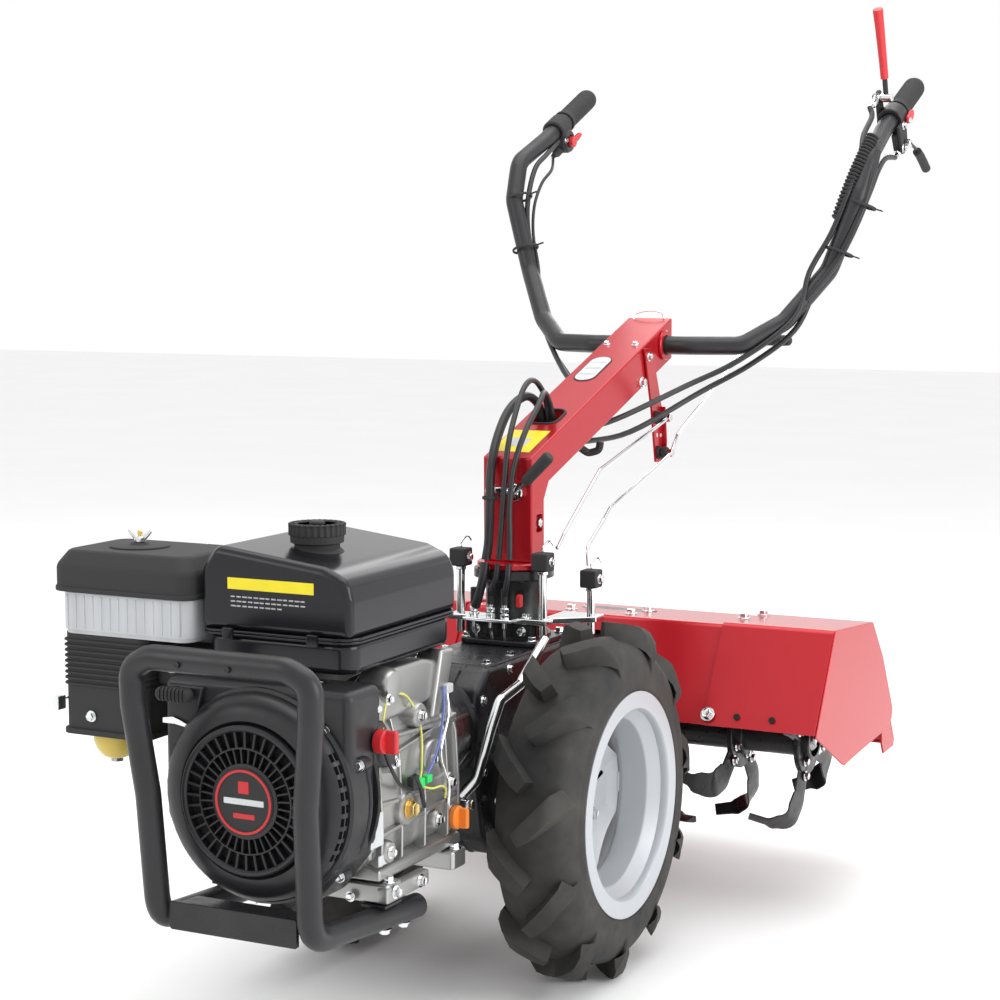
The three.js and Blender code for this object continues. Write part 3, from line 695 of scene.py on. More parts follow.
class TILLER_OT_blower(bpy.types.Operator):
    """Adds the blower housing, the louvred fan cover with its emblem, and the starter handle"""
    bl_idname = "tiller.blower"
    bl_label = "Blower and starter"

    def execute(self, context):
        f = finishes(context)
        centre = (0, CRANK_Z)
        crank = at(0, -505, CRANK_Z)
        duct = [(-129, 448), (-129, 285), (-68, 221), (66, 208), (108, 262), (115, 330), (115, 448)]
        shell = slab("y", duct, -500, -429, f.powder)
        soften(shell, 12, 4)
        rim = turned("y", [(98, -506), (118, -506), (121, -503), (121, -470), (98, -470)], centre, f.powder)
        steps = slab("y", [(-118, 440), (-118, 330), (-96, 330), (-70, 440)], -507, -498, f.powder)
        soften(steps, 3)
        flanges = [ring("y", 112, 123, low, low + 5, centre, f.powder, 1.5) for low in (-470, -452)]
        tabs = [soften(turned("y", [(0, -484), (8, -484), (8, -470), (0, -470)],
                              (124 * math.cos(t), CRANK_Z + 124 * math.sin(t)), f.powder, 20), 1)
                for t in (0.35, -0.75, 2.7)]
        parts = [shell, rim, steps, *flanges, *tabs]
        parts += bolts("y", -1, 5, [(124 * math.cos(t), -484, CRANK_Z + 124 * math.sin(t))
                                    for t in (0.35, -0.75, 2.7)], f.zinc)
        parts += bolts("y", -1, 4.5, [(57, -430, 214), (72, -430, 201), (-60, -500, 236)], f.zinc)
        hand_over("blower_shell", parts, "chassis", ["blower_housing"])

        profile = [(84, -506), (84, -519), (88, -524), (97, -523.5), (108, -519),
                   (114.5, -512), (116, -506.5),
                   (112, -506.5), (110, -511), (104, -516), (95, -519.5), (90, -519.5),
                   (88, -515), (88, -506)]
        dome = turned("y", [(r, y if y > -508 else y - 3) for r, y in profile], centre, f.powder, 72)
        slots = []
        for side in (1, -1):
            for y in (-514.5, -508.6):
                for i in range(9):
                    turn = (i - 4) * 7.2 + (0 if side > 0 else 180)
                    hole = block((96, 122), (y - 2, y + 2), (CRANK_Z - 4.6, CRANK_Z + 4.6), f.shade, 0)
                    hole.data.transform(about("y", -turn, crank))
                    slots.append(hole)
        cut(dome, *slots)
        # A near-black disc behind the louvres is painted shade for the dark space seen through the slots.
        back = turned("y", [(0, -507), (90, -507), (90, -510), (0, -510)], centre, f.shade, 48)
        disc = turned("y", [(34, -511), (84, -511), (84, -531), (82, -533), (79, -533),
                            (77, -531), (77, -522),
                            (42, -522), (42, -532), (38, -533), (34, -533)], centre, f.powder, 72)
        # A near-black film on the floor of the disc's recess between the fins is painted shade.
        recess_shade = turned("y", [(42.5, -522.3), (76.5, -522.3), (76.5, -522), (42.5, -522)],
                        centre, f.shade, 48)
        outer_fin = block((58.5, 77.5), (-531.6, -521), (CRANK_Z - 1.5, CRANK_Z + 1.5), f.powder, 0.7, 1)
        inner_fin = block((42, 60), (-531.6, -521), (CRANK_Z - 1.1, CRANK_Z + 1.1), f.powder, 0.5, 1)
        fins = around(outer_fin, "y", crank, 36) + around(inner_fin, "y", crank, 36, 5)
        hoop = ring("y", 58, 60, -532, -523, centre, f.powder, 0.5)
        badge = turned("y", [(0, -530), (36, -530), (37.5, -532), (37.5, -534.4),
                             (36.5, -535.2), (33.5, -535.2),
                             (32.5, -534.2), (0, -533.8)], centre, f.plastic, 64)
        edge = turned("y", [(33, -534), (33.3, -535.9), (36, -535.9), (36.6, -534)], centre,
                      f.red_plastic, 64)
        motif = [block((-7, 7), (-535, -533), (CRANK_Z + 9, CRANK_Z + 23), f.red_plastic, 2),
                 block((-26, 26), (-534.8, -533), (CRANK_Z - 3.5, CRANK_Z + 3.5), f.label, 1.5),
                 block((-14, 14), (-534.6, -533), (CRANK_Z - 19, CRANK_Z - 13), f.red_plastic, 1.5)]
        hand_over("fan_cover", [dome, back, disc, recess_shade, hoop, badge, edge, *fins, *motif], "chassis",
                  ["recoil_cover"])

        bar = slab("y", rounded_rectangle((-124, -78), (423, 439), 7.5, 5), -525, -510, f.plastic)
        soften(bar, 5, 4)
        grooves = [block((x, x + 1.6), (-526, -509), (420, 442), f.plastic, 0) for x in range(-116, -84, 5)]
        cut(bar, *grooves)
        neck = turned("y", [(0, -512), (9, -512), (7, -505.6), (0, -505.6)], (-101, 431), f.plastic, 24)
        hand_over("starter_grip", [bar, neck], "starter_handle", ["recoil_handle"])
        return {"FINISHED"}


CYLINDER_TILT = 25


class TILLER_OT_engine(bpy.types.Operator):
    """Adds the crankcase, the finned cylinder, the muffler, the engine base, the controls and the wiring"""
    bl_idname = "tiller.engine"
    bl_label = "Engine"

    def execute(self, context):
        f = finishes(context)
        crank = at(0, -330, CRANK_Z)
        case = slab("y", [(-92, 372), (-92, 246), (-76, 226), (76, 226), (98, 244), (104, 300),
                          (100, 372), (84, 400), (-78, 400)], -428, -226, f.alloy)
        soften(case, 7, 3)
        foot = slab("y", [(-98, 219), (-98, 232), (-80, 240), (80, 240), (106, 232), (106, 219)],
                    -424, -230, f.alloy)
        soften(foot, 3)
        parts = [case, foot]
        for y in (-418, -372, -318, -262, -236):
            rib = slab("y", [(80, 226), (107, 236), (108, 292), (104, 356), (90, 404), (80, 404)],
                       y - 2.5, y + 2.5, f.alloy)
            parts.append(soften(rib, 1.8, 2))
        for z, slope in ((268, 10), (304, -14), (352, 22), (378, -10)):
            rib = slab("x", [(-420, z), (-240, z + slope), (-240, z + slope + 5), (-420, z + 5)],
                       92, 107, f.alloy)
            parts.append(soften(rib, 1.6, 2))
        boss_list = ((-364, 291, 20, 111), (-405, 250, 13, 110), (-300, 335, 24, 109), (-244, 253, 17, 104),
                     (-262, 300, 12, 110), (-400, 352, 12, 112), (-330, 392, 15, 108), (-292, 262, 11, 110))
        for y, z, radius, reach in boss_list:
            boss = turned("x", [(0, 88), (radius + 4, 88), (radius, reach - 3),
                                (radius - 2, reach), (0, reach)],
                          (y, z), f.alloy, 28)
            parts.append(boss)
        parts += bolts("x", 1, 9, [(111, -364, 291)], f.gold)
        parts += bolts("x", 1, 5.5, [(110, -405, 250), (110, -262, 300), (112, -400, 352), (108, -330, 392),
                                     (110, -292, 262), (106, -300, 335)], f.zinc)
        lobe = slab("x", [(-412, 392), (-330, 396), (-250, 404), (-240, 440), (-300, 452),
                          (-380, 452), (-420, 430)],
                    60, 96, f.alloy)
        soften(lobe, 6, 3)
        arm = slab("x", [(-292, 380), (-262, 380), (-236, 455), (-268, 457)], 86, 102, f.alloy)
        soften(arm, 4, 3)
        knuckle = turned("x", [(0, 70), (20, 70), (20, 99), (16, 105), (0, 106)], (-386, 436), f.alloy, 28)
        knuckle_back = turned("x", [(0, 70), (18, 70), (18, 92), (14, 98), (0, 99)], (-256, 438), f.alloy, 28)
        parts += [lobe, arm, knuckle, knuckle_back, *bolts("x", 1, 5,
                                                           [(110, -436, 419), (108, -405, 424)], f.zinc)]
        bracket = slab("x", [(-452, 362), (-430, 352), (-404, 352), (-404, 372), (-430, 406),
                             (-452, 402)], 104, 117,
                       f.powder)
        soften(bracket, 3)
        parts.append(bracket)

        # Wires hang from the switch to the plug-in joints and on to the back of the engine.
        looms = [(f.lime, 1.3, [(116, -432, 396), (114, -425, 412), (104, -396, 424), (101, -352, 418),
                                (107, -330, 380), (113, -338, 335), (114, -345, 318)]),
                 (f.blue, 1.3, [(104, -268, 414), (112, -282, 390), (114, -300, 350), (113, -322, 324),
                                (113, -345, 312)]),
                 (f.zinc, 1.6, [(104, -260, 410), (110, -268, 380), (112, -290, 340), (112, -270, 300),
                                (109, -266, 272)]),
                 (f.lime, 1.3, [(114, -340, 312), (118, -322, 306), (118, -300, 304), (114, -282, 296),
                                (110, -276, 284)]),
                 (f.cable, 2.2, [(122, -438, 372), (124, -428, 352), (119, -400, 328), (116, -372, 316),
                                 (114, -352, 312)]),
                 (f.cable, 2.6, [(117, -362, 330), (118, -350, 312), (117, -342, 296), (112, -330, 286)])]
        for material, radius, places in looms:
            parts.append(pipe(flowing(places), radius, material, 2))
        plug_ins = (((110, 119), (-352, -340), (312, 323), f.green),
                    ((111, 119), (-334, -322), (314, 323), f.green),
                    ((109, 118), (-366, -352), (312, 328), f.plastic),
                    ((100, 108), (-266, -250), (405, 416), f.label))
        for x, y, z, material in plug_ins:
            parts.append(block(x, y, z, material, 1.5))
        parts += [block((106.5, 108.4), (-446, -418), (262, 300), f.label, 0.4, 1),
                  block((106.2, 107.8), (-428, -396), (238, 250), f.label, 0.4, 1)]
        hand_over("crankcase", parts, "chassis", ["engine_crankcase"])

        parts = [block((-178, -64), (-378, -282), (CRANK_Z - 42, CRANK_Z + 42), f.alloy, 6)]
        for x in range(-170, -100, 9):
            parts.append(soften(slab("x", rounded_rectangle((-392, -268),
                                                            (CRANK_Z - 56, CRANK_Z + 56), 16, 4),
                                     x, x + 3, f.alloy), 0.9, 1))
        cover = slab("x", rounded_rectangle((-384, -276), (CRANK_Z - 48, CRANK_Z + 48), 22, 5),
                     -236, -192, f.alloy)
        soften(cover, 7, 4)
        collar = slab("x", rounded_rectangle((-390, -270), (CRANK_Z - 54, CRANK_Z + 54), 20, 5),
                      -198, -190, f.alloy)
        parts += [cover, soften(collar, 1.5, 2)]
        parts += bolts("x", -1, 5, [(-236, y, CRANK_Z + z) for y in (-372, -288) for z in (-36, 36)], f.zinc)
        spark = turned("y", [(0, -392), (7, -392), (9, -404), (13, -408), (13, -428), (9, -434), (0, -434)],
                       (-200, CRANK_Z - 8), f.plastic, 24)
        lead = pipe(flowing([(-200, -430, CRANK_Z - 8), (-192, -440, CRANK_Z + 20),
                             (-150, -442, CRANK_Z + 62), (-120, -430, CRANK_Z + 90)]), 3.4, f.cable)
        parts += [spark, lead]
        for part in parts:
            part.data.transform(about("y", CYLINDER_TILT, crank))
        exhaust = pipe(bent([(-222, -330, 440), (-236, -318, 470), (-214, -298, 486)], 14), 14, f.steel)
        inlet = pipe(bent([(-180, -400, 440), (-190, -420, 452), (-215, -430, 452)], 14), 15, f.alloy)
        hand_over("cylinder", [*parts, exhaust, inlet], "chassis", ["cylinder_head"])

        can = slab("z", rounded_rectangle((-256, -108), (-338, -230), 24, 6), 484, 552, f.casting)
        soften(can, 8, 4)
        seam = slab("z", rounded_rectangle((-258, -106), (-340, -228), 25, 6), 515, 519, f.casting)
        shield = slab("z", rounded_rectangle((-250, -114), (-332, -236), 20, 5), 553, 555.6, f.powder)
        soften(shield, 1.1, 2)
        # The shield's slots are near-black strips laid on it, painted shade for the openings.
        slots = [soften(block((x, x + 5), (-318, -250), (554, 556.4), f.shade, 0), 0.8, 1)
                 for x in range(-238, -120, 14)]
        spout = turned("y", [(10, -231), (10, -216), (13, -214), (13, -231)], (-232, 520), f.steel, 28)
        parts = [can, soften(seam, 1.2, 2), shield, spout, *slots]
        parts += bolts("z", 1, 4.5, [(-243, -325, 555.6), (-121, -243, 555.6), (-243, -243, 555.6)], f.zinc)
        hand_over("muffler_can", parts, "chassis", ["muffler"])

        parts = [soften(slab("z", rounded_rectangle((-117, 117), (y, y + 35), 5, 3), 195, 217, f.alloy), 2.5)
                 for y in (-425, -270)]
        parts.append(soften(slab("z", rounded_rectangle((-58, 58), (-394, -266), 8, 3), 204.5,
                                 213.5, f.alloy), 2))
        parts += [block((104, 118.5), (-428, -330), (196, 214), f.alloy, 3),
                  block((-118.5, -104), (-428, -330), (196, 214), f.alloy, 3)]
        parts += bolts("z", 1, 6.5, [(x, y, 217) for x in (-108, 109) for y in (-409, -252)], f.zinc)
        parts += bolts("x", 1, 6, [(118.4, -352, 205), (118.4, -410, 207)], f.zinc)
        hand_over("engine_mount", parts, "chassis", ["engine_base"])

        # Governor and throttle rods above the fan cover.
        rods = [([(-157, -452, 441), (-92, -452, 446), (-50, -450, 447)], 1.8, f.zinc),
                ([(-50, -450, 447), (-47, -450, 440), (-55, -450, 430)], 2.4, f.zinc),
                ([(-78, -455, 452), (-52, -455, 453), (-48, -455, 448)], 1.5, f.zinc),
                ([(-150, -470, 424), (-90, -470, 420), (10, -474, 423)], 3.4, f.cable),
                ([(20, -462, 452), (60, -455, 446), (92, -446, 430), (106, -440, 418)], 2.0, f.zinc),
                ([(-40, -470, 440), (20, -474, 436), (60, -470, 428)], 2.4, f.zinc)]
        parts = [pipe(bent(places, 6), radius, material, 2) for places, radius, material in rods]
        lever = slab("y", [(-122, 402), (-108, 404), (-84, 396), (-82, 392), (-106, 396),
                           (-122, 396)], -511, -509,
                     f.zinc)
        plate = slab("y", [(-142, 449), (20, 449), (30, 470), (-142, 470)], -455, -452, f.powder)
        dome = turned("y", [(0, -462), (18, -462), (26, -452), (0, -452)], (-18, 448), f.plastic, 32)
        parts += [soften(lever, 0.7, 2), soften(plate, 1), dome]
        parts += bolts("y", -1, 4.5, [(-47, -455, 447), (37, -501, 420), (-54, -452, 430),
                                      (84, -501, 404)], f.zinc)
        hand_over("governor_rods", parts, "chassis")

        knob = turned("x", [(0, 117.4), (12.5, 117.4), (13.5, 119), (13.5, 128), (12, 130),
                            (0, 130)], (-446, 386),
                      f.red_plastic, 36)
        handle = block((126, 143), (-450, -442), (373, 399), f.red_plastic, 3, 4)
        hand_over("stop_switch", [knob, handle], "switch_knob", ["engine_switch"])

        cap = turned("x", [(0, 98), (8, 98), (8, 104.6), (13.5, 104.6), (14, 106), (14, 111),
                           (12, 113.5), (0, 114)],
                     (-244, 253), f.orange, 36)
        grip = block((111, 124.5), (-247.5, -240.5), (240.5, 265.5), f.orange, 2.8, 4)
        hand_over("oil_cap", [cap, grip], "oil_cap", ["oil_filler_cap"])
        return {"FINISHED"}


class TILLER_OT_guard(bpy.types.Operator):
    """Adds the guard hoop with its rails and its cross bar"""
    bl_idname = "tiller.guard"
    bl_label = "Guard"

    def execute(self, context):
        f = finishes(context)
        radius = context.scene.tiller_sizes.hoop_radius / MM
        top = bent([(0, -580, 484.5), (88, -580, 484.5), (114, -578, 470), (113, -577, 430), (101, -569, 330),
                    (98, -557, 187), (104, -335, 170)], 34, 10)
        both = [Vector((-p.x, p.y, p.z)) for p in reversed(top)] + top[1:]
        hoop = pipe(both, radius, f.powder, 8)
        parts = [hoop]
        parts += bolts("y", -1, 3.5, [(-42, -593.4, 482), (22, -593.4, 482)], f.casting)
        ends = [turned("y", [(0, -336), (radius - 1.2, -336), (radius - 1.2, -333.6),
                             (radius - 3, -332.6), (0, -332.6)],
                       (x, 170), f.plastic, 24) for x in (-104, 104)]
        tongue = [soften(slab("z", [(x - 16, -428), (x + 16, -428), (x + 16, -390),
                                    (x - 16, -390)], 190.6, 194.4,
                              f.powder), 1) for x in (-100, 100)]
        parts += ends + tongue
        parts += bolts("z", -1, 6, [(101, -404, 161), (-101, -404, 161), (102, -362, 158),
                                    (-102, -362, 158)], f.zinc)
        hand_over("guard_hoop", parts, "chassis", ["bumper_hoop"])

        bar = slab("y", rounded_rectangle((-82, 82), (178, 210), 3, 3), -560, -554, f.casting)
        soften(bar, 1.2, 2)
        shelf = slab("z", [(-78, -555), (78, -555), (72, -520), (-72, -520)], 203, 207, f.casting)
        gusset = slab("x", [(-556, 206), (-556, 180), (-540, 196), (-520, 206)], 60, 64, f.casting)
        hand_over("guard_bar", [bar, soften(shelf, 1.2, 2), soften(gusset, 1, 2)], "chassis",
                  ["bumper_plate"])
        return {"FINISHED"}


class TILLER_OT_transmission(bpy.types.Operator):
    """Adds the clutch housing, the gearbox, the column's base, the coupling and the tiller's gear case"""
    bl_idname = "tiller.transmission"
    bl_label = "Transmission"

    def execute(self, context):
        f = finishes(context)
        centre = (0, CRANK_Z)
        bell = turned("y", [(80, -224.6), (93, -224.6), (94, -218), (88, -210), (84, -196),
                            (72, -152), (64, -136),
                            (62, -110), (66, -106), (66, -100), (54, -100), (54, -140), (78, -200)],
                      centre, f.casting)
        ribs = around(soften(slab("x", [(-216, CRANK_Z + 84), (-112, CRANK_Z + 58), (-112, CRANK_Z + 63),
                                        (-216, CRANK_Z + 92)], -3, 3, f.casting), 1.5, 2), "y",
                      at(0, -160, CRANK_Z), 8, 22)
        ears = around(bolts("y", -1, 6, [(0, -222, CRANK_Z + 86)], f.zinc)[0], "y",
                      at(0, -160, CRANK_Z), 4, 45)
        hand_over("clutch_bell", [bell, *ribs, *ears], "chassis", ["clutch_housing"])

        outline = [(-99, 256), (-84, 182), (-46, 151), (46, 151), (84, 182), (166, 262),
                   (167, 399), (-66, 399), (-99, 372)]
        box = slab("x", outline, -61, 61, f.casting)
        soften(box, 9, 4)
        parts = [box]
        for sign in (1, -1):
            flange = slab("x", outline, *sorted((sign * 20, sign * 28)), f.casting)
            parts.append(soften(flange, 2, 2))
            neck = turned("x", [(p[0], sign * p[1]) for p in
                                [(20, 56), (62, 56), (62, 66), (50, 74), (46, 100), (40, 132),
                                 (36, 143), (20, 143)]],
                          (0, AXLE_Z), f.casting)
            parts.append(neck)
            spots = [(sign * 66, 54 * math.cos(TURN * i / 6),
                      AXLE_Z + 54 * math.sin(TURN * i / 6)) for i in range(6)]
            parts += bolts("x", sign, 6, spots, f.zinc)
            side_cap = turned("x", [(0, sign * 56), (30, sign * 56), (30, sign * 66), (26, sign * 70),
                                    (0, sign * 71)],
                              (110, 340), f.casting, 36)
            parts.append(side_cap)
            parts += bolts("x", sign, 5, [(sign * 61, y, z) for y, z in
                                          ((-84, 360), (-84, 268), (-50, 168), (60, 170), (150, 280),
                                           (150, 380), (-10, 388))],
                           f.zinc)
        lid = soften(slab("z", rounded_rectangle((-58, 58), (-60, 162), 12, 4), 392, 400, f.casting), 2.5)
        parts += [lid, *bolts("z", 1, 5, [(x, y, 400) for x in (-48, 48) for y in (-48, 20)], f.zinc)]
        parts += bolts("x", 1, 7, [(61, 30, 206)], f.gold)
        hand_over("gearbox_case", parts, "chassis", ["gearbox_housing"])

        hub = (0, 128)
        base = turned("z", [(0, 400.6), (50, 400.6), (50, 412), (44, 418), (38, 440), (38, 470),
                            (44, 484), (54, 488), (54, 499.4), (0, 499.4)], hub, f.casting)
        plates = [soften(slab("z", [(-76, 80), (70, 80), (70, 104), (-76, 104)], 430, 438, f.zinc), 1.5),
                  soften(slab("z", [(56, 92), (116, 140), (116, 166), (56, 166)], 430, 438, f.zinc), 1.5),
                  soften(slab("z", rounded_rectangle((-52, 52), (82, 122), 8, 4), 403, 436, f.casting), 3),
                  soften(slab("z", rounded_rectangle((-58, 58), (72, 180), 16, 4), 400.5, 408, f.casting), 2)]
        parts = [base, *plates]
        adjusters = [(-30, 68), (-6, 70), (14, 71)]
        for x, y in adjusters:
            parts.append(rod("z", 3.6, 424, 462, (x, y), f.zinc, 0.6, 16))
            parts += [soften(slab("z", [(a + x, b + y) for a, b in hexagon(6.5)], z, z + 6, f.zinc), 0.8, 2)
                      for z in (438, 446)]
            parts.append(ring("z", 1, 4.6, 456, 478, (x, y), f.cable, 1, 16))
        parts.append(soften(slab("z", [(-44, 60), (28, 60), (28, 84), (-44, 84)], 433, 438, f.zinc), 1.5))
        parts += bolts("z", 1, 6, [(x, y, 408) for x in (-48, 48) for y in (84, 170)], f.zinc)
        parts += bolts("y", -1, 5, [(34, 81.5, 420), (-34, 81.5, 420)], f.zinc)
        parts += [block((26, 34), (78, 88), (452, 470), f.red_plastic, 3),
                  *bolts("z", 1, 5.5, [(-44, 96, 438), (36, 90, 438)], f.zinc)]
        hand_over("column_foot", parts, "chassis", ["column_base"])

        joint = turned("y", [(16, 168.4), (54, 168.4), (54, 181), (44, 186), (44, 199),
                             (54, 204), (54, 214.8), (16, 214.8)], centre, f.casting)
        studs = around(bolts("y", 1, 6.5, [(0, 181, CRANK_Z + 47)], f.zinc, False)[0], "y",
                       at(0, 0, CRANK_Z), 6)
        hand_over("rear_coupling", [joint, *studs], "chassis", ["pto_coupling"])

        outline = [(215.6, 371), (215.6, 281), (340, 281), (392, 233), (520, 233), (512, 371)]
        case = soften(slab("x", outline, -35, 35, f.casting), 8, 4)
        drum = turned("x", [(16, -36), (74, -36), (78, -30), (78, 30), (74, 36), (16, 36)],
                      (ROTOR_Y, ROTOR_Z), f.casting)
        seam = soften(slab("x", [(213, 374), (213, 278), (338, 278), (390, 229), (523, 229),
                                 (515, 374)], -4, 4,
                           f.casting), 2, 2)
        hoop = ring("x", 60, 81, -4, 4, (ROTOR_Y, ROTOR_Z), f.casting, 2)
        parts = [case, drum, seam, hoop]
        for sign in (1, -1):
            parts += bolts("x", sign, 6, [(sign * 35, y, z) for y, z in
                                          ((232, 356), (232, 298), (330, 356), (420, 356), (490, 356),
                                           (500, 270))], f.zinc)
            spots = [(sign * 36, ROTOR_Y + 62 * math.cos(TURN * i / 6 + 0.3),
                      ROTOR_Z + 62 * math.sin(TURN * i / 6 + 0.3))
                     for i in range(6)]
            parts += bolts("x", sign, 5, spots, f.zinc)
        parts.append(block((-35.5, 35.5), (400, 446), (366, 387), f.casting, 3))
        hand_over("rear_gearcase", parts, "chassis", ["tiller_gearcase"])
        return {"FINISHED"}


# ---- wheels ----
TREAD_X = 177
CARCASS_R = 206
LUG_ROOT = 8


def lug(material, height, outer_r):
    """One slanted tread bar of a height, on the outer half of the tyre, at the front of the wheel."""
    base = outer_r - height - LUG_ROOT
    settle()
    bpy.ops.mesh.primitive_cube_add(size=1)
    obj = bpy.context.object
    edit(obj)
    bpy.ops.mesh.subdivide(number_cuts=7)
    bpy.ops.object.mode_set(mode="OBJECT")
    for vertex in obj.data.vertices:
        u, w, h = vertex.co.x + 0.5, vertex.co.y * 2, vertex.co.z + 0.5
        across = -3 + 56 * u
        along = 58 * u ** 1.12
        half = (14 - 3.6 * h) * (0.8 + 0.2 * min(1, u * 5)) + 2.5 * max(0, u - 0.6)
        across -= w * half * 0.62
        along += w * half * 0.79
        shoulder = max(0.0, (abs(across) - 36) / 18)
        crown = 2.5 * (across / 40) ** 2
        radius = base + (outer_r - crown - base) * h
        radius -= shoulder ** 1.7 * (10 + 22 * h)
        across = min(across, 53.5 - 1.5 * (1 - h))
        turn = along / outer_r
        vertex.co = at(TREAD_X + across, -radius * math.cos(turn), AXLE_Z + radius * math.sin(turn))
    soften(obj, 2.2, 2, 50)
    edit(obj)
    return paint(close(obj), material)


class TILLER_OT_wheels(bpy.types.Operator):
    """Adds the two wheels with their lugged tyres, lobed rims and hub bolts, and the axle between them"""
    bl_idname = "tiller.wheels"
    bl_label = "Wheels"

    def execute(self, context):
        f = finishes(context)
        sizes = context.scene.tiller_sizes
        axle = at(0, 0, AXLE_Z)
        centre = (0, AXLE_Z)
        outer_r = AXLE_Z - 0.1
        pairs = sizes.lug_pairs
        carcass = [(142, 227), (147, 231), (156, 230.5), (160, 229), (164, 229.5), (176, 227.5), (186, 224),
                   (194, 219.5), (200, 212), (204, 200), (CARCASS_R, 177), (204, 154),
                   (200, 142), (194, 134.5),
                   (186, 130), (176, 126.5), (164, 124.5), (160, 125), (156, 123.5), (147, 123), (142, 130),
                   (126, 134), (126, 224)]
        tyre = turned("x", carcass, centre, f.tyre, 96)
        bar = lug(f.tyre, sizes.lug_height / MM, outer_r)
        mirror = Matrix.Translation(at(2 * TREAD_X, 0, 0) - at(0, 0, 0)) @ Matrix.Scale(-1, 4, UNIT["x"])
        other = twin(bar, mirror)
        bars = around(bar, "x", axle, pairs) + around(other, "x", axle, pairs, 180 / pairs)
        left_tyre = join([tyre, *bars])

        rim_profile = [(108, 170), (108, 153), (120, 128), (140.5, 127), (141.5, 128.5),
                       (141.5, 131.5), (126, 133),
                       (113, 147), (113, 204), (125, 216), (125, 225), (140, 226.5),
                       (143.5, 228.5), (143.5, 230.5),
                       (140.5, 231.3), (122, 230), (119.5, 227), (119.5, 219), (108, 206),
                       (106.5, 203), (106.5, 170)]
        barrel = turned("x", rim_profile, centre, f.rim, 96)
        points = []
        for i in range(120):
            turn = TURN * i / 120
            gap = max(0.0, -math.cos(4 * turn)) ** 0.7
            reach = 106 - 17 * gap
            points.append((reach * math.cos(turn), AXLE_Z + reach * math.sin(turn)))
        plate = slab("x", points, 160, 164.5, f.rim)
        edit(plate, "DESELECT")
        select_faces(plate, lambda face: abs(face.normal.x) > 0.99)
        bpy.ops.mesh.inset(thickness=15 * MM, depth=0)
        bpy.ops.transform.translate(value=(-7 * MM, 0, 0))
        bpy.ops.mesh.inset(thickness=14 * MM, depth=0)
        bpy.ops.transform.translate(value=(-1.5 * MM, 0, 0))
        bpy.ops.object.mode_set(mode="OBJECT")
        soften(plate, 1.6, 2, 25)
        hub_ring = ring("x", 17.5, 40, 155, 158.5, centre, f.rim, 1.2)
        parts = [barrel, plate, hub_ring]
        spots = [(157, 47 * math.cos(math.radians(35 + 72 * i)),
                  AXLE_Z + 47 * math.sin(math.radians(35 + 72 * i)))
                 for i in range(5)]
        parts += bolts("x", 1, 7, spots, f.zinc)
        weld = block((160, 166), (-14, 14), (AXLE_Z + 103, AXLE_Z + 108.5), f.rim, 2)
        parts += around(weld, "x", axle, 4)
        valve = rod("x", 3, 160, 190, (0, AXLE_Z + 98), f.cable, 1, 16)
        valve.data.transform(about("x", 20, axle))
        parts.append(valve)
        left_rim = join(parts)
        flip = Matrix.Scale(-1, 4, UNIT["x"])
        for name, sign in (("left", 1), ("right", -1)):
            for kind, source, slot in (("tyre", left_tyre, "rubber"), ("rim", left_rim, "rim_silver")):
                part = twin(source, Matrix.Identity(4) if sign > 0 else flip)
                hand_over(f"{kind}_{name}_piece", [part], "wheels", [f"{kind}_{name}"], 40)
        bpy.data.objects.remove(left_tyre)
        bpy.data.objects.remove(left_rim)

        half = [(0, 158.5), (10, 158.5), (16, 157), (17, 154), (51, 154), (52, 152.5), (52, 147),
                (50, 145.5), (26, 144), (17, 138)]
        profile = half + [(r, -x) for r, x in reversed(half)]
        axle_piece = turned("x", profile, centre, f.steel)
        nuts = []
        for sign in (1, -1):
            nut = soften(slab("x", [(a, b + AXLE_Z) for a, b in hexagon(15)],
                              *sorted((sign * 156, sign * 167)), f.zinc), 1.6, 2)
            nuts.append(nut)
        hand_over("axle_bar", [axle_piece, *nuts], "wheels", ["wheel_axle"])
        return {"FINISHED"}


# ---- steering ----
ARM_FOOT = (107, 649)
ARM_RISE = 0.3573


def arm_top(y):
    """The height of the sloping arm's upper face."""
    return ARM_FOOT[1] + (y - ARM_FOOT[0]) * ARM_RISE


